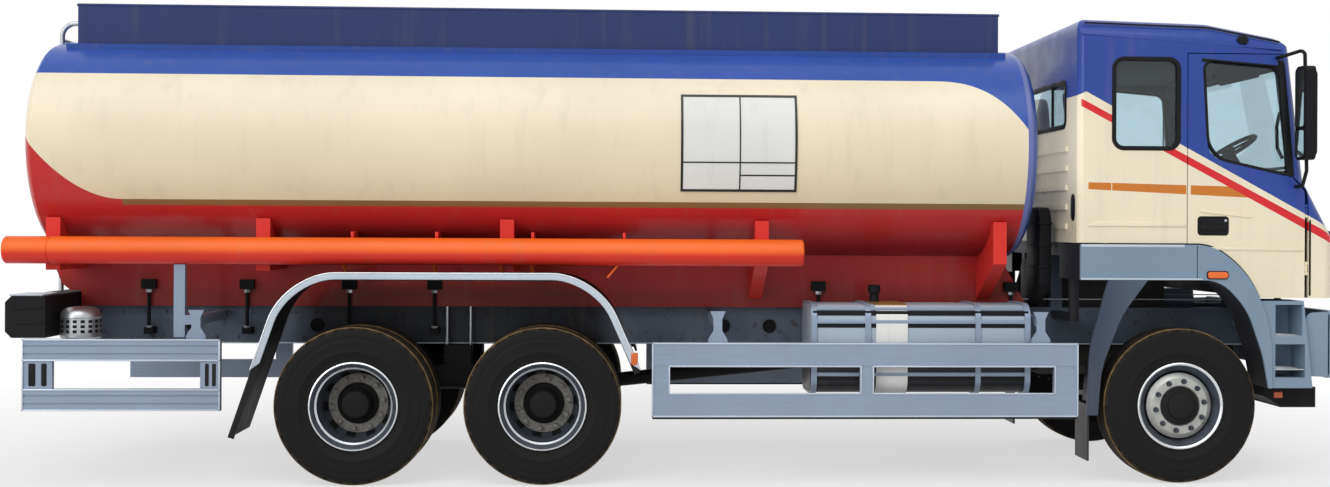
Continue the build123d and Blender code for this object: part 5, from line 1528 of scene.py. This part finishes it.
class TANKER_OT_cab(bpy.types.Operator):
    """Finish the cab's panels and add seals, swages, handles and vents"""

    bl_idname = "tanker.cab"
    bl_label = "Cab"

    def execute(self, context):
        for node, finish_name in CAB_FINISHES.items():
            dress(node, finish_name)
        for side, way in SIDES.items():
            self.shell_trim(side, way)
            self.door_trim(side, way)
        self.ends()
        return {"FINISHED"}

    def shell_trim(self, side, way):
        """Window rubber, corner seam, roof vent, crease, bars and swage on one side of the cab."""
        mesh = bmesh.new()
        window = grown(SIDE_WINDOW, 0.005)
        side_ring(mesh, way, window, CAB_HALF - 0.030, sizes().seal, 0.037, (0.08,) * 4, 0.007)
        side_box(mesh, way, (4.1205, 4.134), (CAB_HALF - 0.004, CAB_HALF + 0.002), (1.24, 1.74), 0.001)
        side_plate(mesh, way, ROOF_VENT, CAB_HALF - 0.012, 0.013, (), 0.003)
        crease = [(x, way * (CAB_HALF - inset), z) for x, inset, z in ROOF_CREASE]
        for start, end in zip(crease, crease[1:]):
            add_rod(mesh, start, end, 0.006, 8)
        add_tube(mesh, [Vector(point) for point in on_side(GRAB_BAR, way, 1.10)], 0.012, 10)
        side_box(mesh, way, (4.0, 4.05), (1.085, 1.125), (2.45, 2.49), 0.006)
        add_tube(mesh, [Vector(point) for point in on_side(CORNER_BAR, way, 1.06)], 0.011, 10)
        add_piece(f"cab_seals_{side}", mesh, "cab", ("seal_rubber",))
        mesh = bmesh.new()
        side_plate(mesh, way, SIDE_SWAGE, CAB_HALF - 0.002, 0.010, (), 0.007)
        y = way * (CAB_HALF - 0.004)
        add_rod(mesh, (2.60, y, 2.954), (3.93, y, 2.863), 0.006, 8)
        add_piece(f"cab_swage_{side}", mesh, "cab", ("cab_enamel",))

    def door_trim(self, side, way):
        """Window rubber, handle, swage and belt seam of one door, and the mirror's glass."""
        mesh = bmesh.new()
        window = grown(DOOR_WINDOW, 0.004)
        side_ring(mesh, way, window, CAB_HALF - 0.030, 0.020, 0.034, (0.07, 0.07, 0.04, 0.14), 0.005)
        side_plate(mesh, way, PILLAR, CAB_HALF - 0.002, 0.007, (0.0, 0.02, 0.02, 0.02), 0.003)
        side_plate(mesh, way, WINDOW_TOP, CAB_HALF - 0.002, 0.006, (), 0.002)
        side_ring(mesh, way, HANDLE, CAB_HALF - 0.001, 0.008, 0.006, (0.028,) * 4, 0.002)
        side_plate(mesh, way, grown(HANDLE, -0.004), CAB_HALF - 0.001, 0.0025, (0.024,) * 4)
        side_plate(mesh, way, HANDLE_BAR, CAB_HALF, 0.012, (0.012,) * 4, 0.004)
        lock = [(3.560, way * (CAB_HALF + lift), 1.733) for lift in (0.001, 0.004)]
        add_rod(mesh, *lock, 0.009, 16, 1)
        add_piece(
            f"door_trim_{side}", mesh, f"door_{side}", ("seal_rubber", "galvanised_steel"),
        )
        mesh = bmesh.new()
        side_plate(mesh, way, DOOR_SWAGE, CAB_HALF - 0.002, 0.009, (), 0.006)
        side_plate(mesh, way, BELT, CAB_HALF - 0.002, 0.008, (), 0.005)
        add_piece(f"door_swage_{side}", mesh, f"door_{side}", ("cab_enamel",))
        mesh = bmesh.new()
        glass, back = MIRROR_X
        for pane in MIRROR_PANES:
            frame_corners = end_view(glass, rectangle(around(MIRROR_Y, 0.070), pane, 0.004), way)
            add_ring(mesh, frame_corners, 0.006, X_AXIS * -0.008, (0.026,) * 4, 0.002, 1)
            glass_corners = end_view(glass, rectangle(around(MIRROR_Y, 0.070), pane), way)
            add_plate(mesh, glass_corners, X_AXIS * -0.003, (0.024,) * 4)
        hood = end_view(back, rectangle(around(MIRROR_Y, 0.060), (2.16, 2.71)), way)
        add_plate(mesh, hood, X_AXIS * 0.022, (0.03,) * 4, 0.018, 1)
        add_piece(
            f"mirror_glass_{side}", mesh, f"door_{side}",
            ("mirror_glass", "black_polypropylene"),
        )

    def ends(self):
        """Rubber round the screen and rear pane, wipers, black ovals for the back wall's slots as painted
        shade, and the front panel's lines.
        """
        mesh = bmesh.new()
        screen = [(screen_x(z) - 0.014, y, z) for y, z in SCREEN]
        add_ring(mesh, screen, 0.030, SCREEN_LEAN * 0.022, (0.085,) * 4, 0.005)
        add_ring(mesh, end_view(CAB_REAR + 0.016, REAR_PANE), 0.034, X_AXIS * -0.024, (0.075,) * 4, 0.006)
        for bar in ((-0.55, -0.525), (0.525, 0.55)):
            add_box(mesh, (CAB_REAR - 0.004, CAB_REAR + 0.012), bar, (2.36, 2.665), 0.004)
        # Black ovals for the wall's slots: painted shade
        for way in SIDES.values():
            slot = end_view(CAB_REAR + 0.001, WALL_SLOT, way)
            add_plate(mesh, slot, X_AXIS * -0.005, (0.049,) * 4, 0.002)
        for pivot, tip in WIPERS:
            self.wiper(mesh, pivot, tip)
        add_piece("cab_end_seals", mesh, "cab", ("seal_rubber",))
        mesh = bmesh.new()
        for z in (1.315, 1.375, 1.435, 1.495):
            add_box(mesh, (4.292, 4.301), (-0.69, 0.69), (z, z + 0.012), 0.003)
        add_ring(mesh, end_view(4.2985, GRILLE), 0.016, X_AXIS * 0.008, (0.03,) * 4, 0.003)
        add_piece("grille_bars", mesh, "cab", ("black_polypropylene",))

    def wiper(self, mesh, pivot, tip):
        """An arm from its pivot below the screen to the middle of a blade."""
        foot = Vector((screen_x(2.0) + 0.022, pivot, 2.0))
        end = Vector((screen_x(2.10) + 0.020, tip, 2.10))
        add_rod(mesh, foot, end, 0.008, 10)
        add_rod(mesh, foot - SCREEN_LEAN * 0.03, foot + SCREEN_LEAN * 0.012, 0.018, 16)
        reach = (end.y - foot.y) * 0.42
        blade = (end.y + reach * 0.6, end.y - reach)
        add_box(mesh, (end.x - 0.018, end.x - 0.004), blade, (2.085, 2.105), 0.004)


class TANKER_OT_interior(bpy.types.Operator):
    """Line the cab and furnish it: headliner, instrument hood, levers and padded seats"""

    bl_idname = "tanker.interior"
    bl_label = "Interior"

    def execute(self, context):
        mesh = bmesh.new()
        add_box(mesh, (CAB_REAR + 0.047, 3.93), (-1.172, 1.172), (2.812, 2.832), 0.006)
        for y in SEAT_Y:
            add_box(mesh, (3.855, 3.885), around(y, 0.36), (2.70, 2.815), 0.012)
        add_piece("cab_lining", mesh, "cab", ("lining_vinyl",))
        self.fittings()
        self.seats()
        return {"FINISHED"}

    def fittings(self):
        """The instrument hood, the dashboard's louvred vents and the gear lever."""
        mesh = bmesh.new()
        hood = ((3.86, 2.008), (4.02, 2.008), (4.02, 2.09), (3.86, 2.12))
        add_plate(mesh, on_side(hood, 1, -0.80), Y_AXIS * 0.42, (0.0, 0.0, 0.03, 0.02), 0.008)
        for y in (-0.25, 0.0, 0.25, 0.80):
            add_box(mesh, (3.795, 3.803), around(y, 0.08), (1.925, 1.985), 0.004, 1)
            for i in range(3):
                low = 1.934 + 0.018 * i
                add_box(mesh, (3.790, 3.797), around(y, 0.072), (low, 1.940 + 0.018 * i), 0.0015)
        lever = on_side(((3.60, 1.64), (3.58, 1.90), (3.54, 1.98)), 1, -0.20)
        add_tube(mesh, [Vector(point) for point in lever], 0.011, 12)
        knob = Matrix.Translation((3.54, -0.20, 1.995))
        bmesh.ops.create_icosphere(mesh, subdivisions=2, radius=0.028, matrix=knob)
        add_piece(
            "dashboard_fittings", mesh, "cab", ("black_polypropylene", "lining_vinyl"),
        )

    def seats(self):
        """Two seats: a pressed base and rails, and pads blown up by a short cloth run."""
        mesh = bmesh.new()
        for y in SEAT_Y:
            add_box(mesh, (2.86, 3.30), around(y, 0.19), (1.6275, 1.852), 0.02)
            add_box(mesh, (2.82, 3.32), around(y, 0.225), (1.835, 1.868), 0.008)
            for side in (-0.215, 0.215):
                add_box(mesh, (2.90, 3.28), around(y + side, 0.018), (1.800, 1.836), 0.006)
            add_box(mesh, (2.752, 2.80), around(y, 0.20), (1.85, 2.30), 0.01)
        add_piece("seat_bases", mesh, "cab", ("black_polypropylene",), ("seats",))
        cushion = self.pad("cushion", (2.815, 3.325), (-0.235, 0.235), (1.868, 1.972), 0.030)
        back = self.pad("backrest", (2.772, 2.868), (-0.225, 0.225), (1.885, 2.665), 0.030)
        foot = Matrix.Translation((2.82, 0, 1.87))
        back.transform(foot @ Matrix.Rotation(math.radians(-6.3), 4, "Y") @ foot.inverted())
        for side, way in SIDES.items():
            for name, data in (("seat_cushion", cushion), ("seat_back", back)):
                copy = data.copy()
                copy.transform(Matrix.Translation((0, way * 0.60, 0)))
                piece = bpy.data.objects.new(f"{name}_{side}", copy)
                bpy.context.scene.collection.objects.link(piece)
                soft = piece.modifiers.new("soften", "SUBSURF")
                soft.levels = 1
                soft.render_levels = 1
                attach(piece, "cab")
                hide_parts("seats")
        for data in (cushion, back):
            bpy.data.meshes.remove(data)

    def pad(self, name, x, y, z, corner):
        """A pad that starts as a rounded block, is remeshed, blown up and sewn into channels."""
        mesh = bmesh.new()
        add_box(mesh, x, y, z, corner, 0, 3)
        data = bpy.data.meshes.new(name)
        mesh.to_mesh(data)
        mesh.free()
        data.materials.append(finish("woven_cloth"))
        pad = bpy.data.objects.new(name, data)
        bpy.context.scene.collection.objects.link(pad)
        grid = pad.modifiers.new("grid", "REMESH")
        grid.mode = "VOXEL"
        grid.voxel_size = 0.012
        start = self.settled(pad, "grid")
        blown = pad.modifiers.new("blow", "CLOTH")
        blown.settings.use_pressure = True
        blown.settings.uniform_pressure_force = 4.0
        blown.settings.effector_weights.gravity = 0.0
        for number in range(1, 21):
            bpy.context.scene.frame_set(number)
        self.settled(pad, "blow")
        bpy.context.scene.frame_set(1)
        for vertex, rest in zip(pad.data.vertices, start):
            shift = vertex.co - rest
            vertex.co = rest + shift * min(1.0, PAD_SWELL / max(shift.length, 1e-6))
        lines = (y[0] * 0.55, 0.0, y[1] * 0.55)
        for vertex in pad.data.vertices:
            for line in lines:
                dip = 0.007 * math.exp(-((vertex.co.y - line) / 0.010) ** 2)
                vertex.co -= vertex.normal * dip
        shape = pad.data.copy()
        bpy.data.objects.remove(pad)
        shape.shade_smooth()
        return shape

    def settled(self, pad, modifier):
        """Apply a modifier by swapping in the evaluated mesh; returns its points."""
        graph = bpy.context.evaluated_depsgraph_get()
        made = bpy.data.meshes.new_from_object(pad.evaluated_get(graph))
        pad.modifiers.remove(pad.modifiers[modifier])
        pad.data = made
        return [vertex.co.copy() for vertex in made.vertices]


# Wheels

WHEELS = {
    "front_wheel_right": (-1, 1.080, False),
    "front_wheel_left": (1, 1.080, False),
    "mid_wheel_right": (-1, 1.100, True),
    "mid_wheel_left": (1, 1.100, True),
    "rear_wheel_right": (-1, 1.100, True),
    "rear_wheel_left": (1, 1.100, True),
}
TWIN_SPACING = 0.290
TYRE_STEPS = 96
RIM_STEPS = 60

# Bands of the tyre: start of the tread, the dusty shoulder, and its notches by radius and reach

TREAD_RADIUS = 0.486
SHOULDER_BAND = (0.503, 0.509)
NOTCH_BAND = (0.488, 0.503)
NOTCH_REACH = (0.09, 0.112)

# Sections of tyre and wheel as (radius, place along the axle)

TYRE_HALF = (
    (0.2563, 0.000), (0.2563, 0.100), (0.290, 0.108), (0.296, 0.113), (0.302, 0.111), (0.345, 0.122),
    (0.352, 0.1255), (0.358, 0.1225), (0.400, 0.125), (0.430, 0.1235), (0.436, 0.1205), (0.442, 0.122),
    (0.474, 0.116), (0.488, 0.111), (0.502, 0.103), (0.509, 0.092), (0.510, 0.064), (0.500, 0.062),
    (0.500, 0.054), (0.510, 0.052), (0.510, 0.014), (0.500, 0.012), (0.500, 0.000),
)
FRONT_RIM = (
    (0.228, 0.02), (0.228, 0.070), (0.236, 0.085), (0.250, 0.100), (0.268, 0.114), (0.277, 0.120),
    (0.285, 0.117), (0.285, 0.108), (0.256, 0.100), (0.256, -0.100), (0.285, -0.108), (0.285, -0.120),
    (0.228, -0.115), (0.228, 0.02),
)
FRONT_WEB = (
    (0.160, 0.060), (0.228, 0.020), (0.228, 0.034), (0.205, 0.064), (0.160, 0.070), (0.160, 0.060),
)
FRONT_DISC = (
    (0.100, 0.060), (0.200, 0.060), (0.216, 0.070), (0.216, 0.080), (0.194, 0.100), (0.184, 0.108),
    (0.135, 0.108), (0.130, 0.102), (0.100, 0.102), (0.100, 0.060),
)
FRONT_HUB = (
    (0.0, 0.140), (0.070, 0.140), (0.084, 0.134), (0.090, 0.118), (0.128, 0.108), (0.130, 0.090),
    (0.0, 0.090),
)
REAR_RIM = (
    (0.222, -0.070), (0.226, 0.030), (0.236, 0.060), (0.238, 0.085), (0.250, 0.095), (0.262, 0.112),
    (0.276, 0.120), (0.285, 0.117), (0.285, 0.108), (0.256, 0.100), (0.256, -0.100), (0.285, -0.108),
    (0.285, -0.120), (0.234, -0.115), (0.222, -0.070),
)
REAR_DISC = (
    (0.100, -0.125), (0.186, -0.125), (0.196, -0.118), (0.222, -0.070), (0.222, -0.086), (0.196, -0.140),
    (0.100, -0.140), (0.100, -0.125),
)

# The rear wheels' other parts as (section, steps, material): inner disc, nut seat, hub, brake drum

REAR_PARTS = (
    (
        (
            (0.100, -0.150), (0.196, -0.150), (0.228, -0.200), (0.228, -0.222), (0.190, -0.166),
            (0.100, -0.166), (0.100, -0.150),
        ),
        48, 2,
    ),
    (((0.100, -0.125), (0.190, -0.124), (0.193, -0.116), (0.138, -0.112), (0.100, -0.120)), 60, 4),
    (
        (
            (0.0, 0.020), (0.060, 0.020), (0.084, 0.014), (0.096, -0.004), (0.104, -0.090), (0.134, -0.100),
            (0.136, -0.130), (0.0, -0.130),
        ),
        48, 3,
    ),
    (
        ((0.110, -0.20), (0.205, -0.23), (0.205, -0.40), (0.180, -0.40), (0.075, -0.33), (0.075, -0.20)),
        40, 3,
    ),
)


def wheel_place(face, centre, axis):
    """A face's middle from a wheel's centre, how far out along the axle it is, and its radius."""
    middle = face.calc_center_median() - centre
    out = middle.dot(axis)
    return middle, out, (middle - axis * out).length


def turn_step(middle, steps):
    """Which of a wheel's equal turns a place lies in."""
    return int(math.floor((math.atan2(middle.z, middle.x) + math.pi) / math.tau * steps + 0.01))


class TANKER_OT_wheels(bpy.types.Operator):
    """Make the wheels and tyres"""

    bl_idname = "tanker.wheels"
    bl_label = "Wheels"

    def execute(self, context):
        for body, (way, y, twin) in WHEELS.items():
            x = node_middle(body).x
            centre = Vector((x, way * y, AXLE_Z))
            axis = Y_AXIS * way
            mesh = bmesh.new()
            if twin:
                self.rear_wheel(mesh, centre, axis)
            else:
                self.front_wheel(mesh, centre, axis)
            add_piece(
                body.replace("wheel", "rim"), mesh, body,
                ("rim_lacquer", "bright_edge_highlight", "rim_dusty", "chassis_steel", "rim_cast"), (body,),
            )
            mesh = bmesh.new()
            for shift in (0, -TWIN_SPACING) if twin else (0,):
                self.tyre(mesh, centre + axis * shift, axis)
            tyre = body.replace("wheel", "tyre")
            add_piece(
                f"{tyre}_rubber", mesh, body,
                ("carbon_rubber", "tread_rubber", "shoulder_rubber"), (tyre,),
            )
        return {"FINISHED"}

    def tyre(self, mesh, centre, axis):
        """A ribbed tyre with notched shoulders."""
        profile = TYRE_HALF + tuple((radius, -offset) for radius, offset in TYRE_HALF[-2::-1])
        faces = add_lathe(mesh, profile, centre, axis, TYRE_STEPS)
        shoulders = []
        for face in faces:
            middle, out, radius = wheel_place(face, centre, axis)
            reach = abs(out)
            if radius > TREAD_RADIUS:
                dusty = SHOULDER_BAND[0] < radius < SHOULDER_BAND[1] and reach > NOTCH_REACH[0]
                face.material_index = 2 if dusty else 1
            notched = NOTCH_BAND[0] < radius < NOTCH_BAND[1] and NOTCH_REACH[0] < reach < NOTCH_REACH[1]
            if notched and turn_step(middle, TYRE_STEPS) % 3 == 0:
                shoulders.append(face)
        bmesh.ops.inset_individual(mesh, faces=shoulders, thickness=0.003, depth=-0.009)

    def front_wheel(self, mesh, centre, axis):
        """A dished disc near the outer face, scalloped at its edge, with a dark hub."""
        faces = add_lathe(mesh, FRONT_RIM, centre, axis, RIM_STEPS, 2)
        self.paint_highlight_bands(faces, centre, axis, ((0.268, 0.290),))
        # The web between rim and disc in black chassis steel: painted shade in the wheel's recess
        add_lathe(mesh, FRONT_WEB, centre, axis, RIM_STEPS, 3)
        faces = add_lathe(mesh, FRONT_DISC, centre, axis, RIM_STEPS)
        self.pockets(mesh, faces, centre, axis, (0.200, 0.212), 6, 3)
        add_lathe(mesh, FRONT_HUB, centre, axis, 48, 3)
        self.nuts(mesh, centre + axis * 0.108, axis, 0.163, 10, 2)

    def rear_wheel(self, mesh, centre, axis):
        """A deep dish with hand holes, a nut ring and a dark axle end."""
        for shift in (0, -TWIN_SPACING):
            faces = add_lathe(mesh, REAR_RIM, centre + axis * shift, axis, RIM_STEPS, 2)
            self.paint_highlight_bands(faces, centre + axis * shift, axis, ((0.274, 0.290), (0.240, 0.250)))
        faces = add_lathe(mesh, REAR_DISC, centre, axis, RIM_STEPS, 2)
        self.pockets(mesh, faces, centre, axis, (0.200, 0.218), 6, 3)
        for section, steps, material in REAR_PARTS:
            add_lathe(mesh, section, centre, axis, steps, material)
        self.nuts(mesh, centre - axis * 0.114, axis, 0.165, 10, 4)

    def paint_highlight_bands(self, faces, centre, axis, bands):
        """Bright metal on narrow bands of the rim's outer lip: a painted highlight."""
        for face in faces:
            middle, out, radius = wheel_place(face, centre, axis)
            if out > 0.08 and any(low < radius < high for low, high in bands):
                face.material_index = 1

    def pockets(self, mesh, faces, centre, axis, band, spacing, width):
        """Hand holes as pockets pressed into a band of the disc, their floors black as painted shade."""
        groups = {}
        for face in faces:
            middle, out, radius = wheel_place(face, centre, axis)
            if band[0] < radius < band[1] and face.normal.dot(axis) > 0.1:
                step = turn_step(middle, RIM_STEPS)
                if step % spacing < width:
                    groups.setdefault(step // spacing, []).append(face)
        for group in groups.values():
            bmesh.ops.inset_region(mesh, faces=group, thickness=0.002, use_even_offset=True)
            pushed = bmesh.ops.extrude_face_region(mesh, geom=group)
            pressed = made_faces(pushed)
            bmesh.ops.translate(mesh, vec=axis * -0.012, verts=made_points(pushed))
            bmesh.ops.delete(mesh, geom=[f for f in group if f.is_valid], context="FACES")
            for face in pressed:
                face.material_index = 3

    def nuts(self, mesh, centre, axis, radius, count, material):
        """Wheel nuts on washers round a pitch circle."""
        across = axis.orthogonal().normalized()
        for i in range(count):
            turn = Matrix.Rotation(math.tau * i / count, 4, axis)
            spot = centre + turn @ (across * radius)
            add_rod(mesh, spot, spot + axis * 0.006, sizes().wheel_nut * 1.25, 16, material)
            add_rod(mesh, spot + axis * 0.006, spot + axis * 0.028, sizes().wheel_nut, 6, material)


CLASSES = (
    TankerColours,
    TankerSizes,
    StageSettings,
    TANKER_OT_stage,
    TANKER_OT_tank,
    TANKER_OT_walkway,
    TANKER_OT_lids,
    TANKER_OT_hose_tubes,
    TANKER_OT_chassis,
    TANKER_OT_guards,
    TANKER_OT_fuel_tank,
    TANKER_OT_canister,
    TANKER_OT_mudguards,
    TANKER_OT_lamps,
    TANKER_OT_fenders,
    TANKER_OT_cab,
    TANKER_OT_interior,
    TANKER_OT_wheels,
)
STEPS = [entry.bl_idname for entry in CLASSES if issubclass(entry, bpy.types.Operator)]


class TANKER_PT_panel(bpy.types.Panel):
    """The tanker's pieces, in the order they are made"""

    bl_idname = "TANKER_PT_panel"
    bl_label = "Road Tanker"
    bl_space_type = "VIEW_3D"
    bl_region_type = "UI"
    bl_category = "Tanker"

    def draw(self, context):
        for step in STEPS:
            self.layout.operator(step)


def register():
    for entry in (*CLASSES, TANKER_PT_panel):
        bpy.utils.register_class(entry)
    bpy.types.Scene.tanker_colours = PointerProperty(type=TankerColours)
    bpy.types.Scene.tanker_sizes = PointerProperty(type=TankerSizes)
    bpy.types.Scene.tanker_stage = PointerProperty(type=StageSettings)


def unregister():
    del bpy.types.Scene.tanker_stage
    del bpy.types.Scene.tanker_sizes
    del bpy.types.Scene.tanker_colours
    for entry in reversed((*CLASSES, TANKER_PT_panel)):
        bpy.utils.unregister_class(entry)


def main():
    """Register the add-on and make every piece."""
    register()
    for step in STEPS:
        group, name = step.split(".")
        getattr(getattr(bpy.ops, group), name)()


if __name__ == "__main__":
    main()
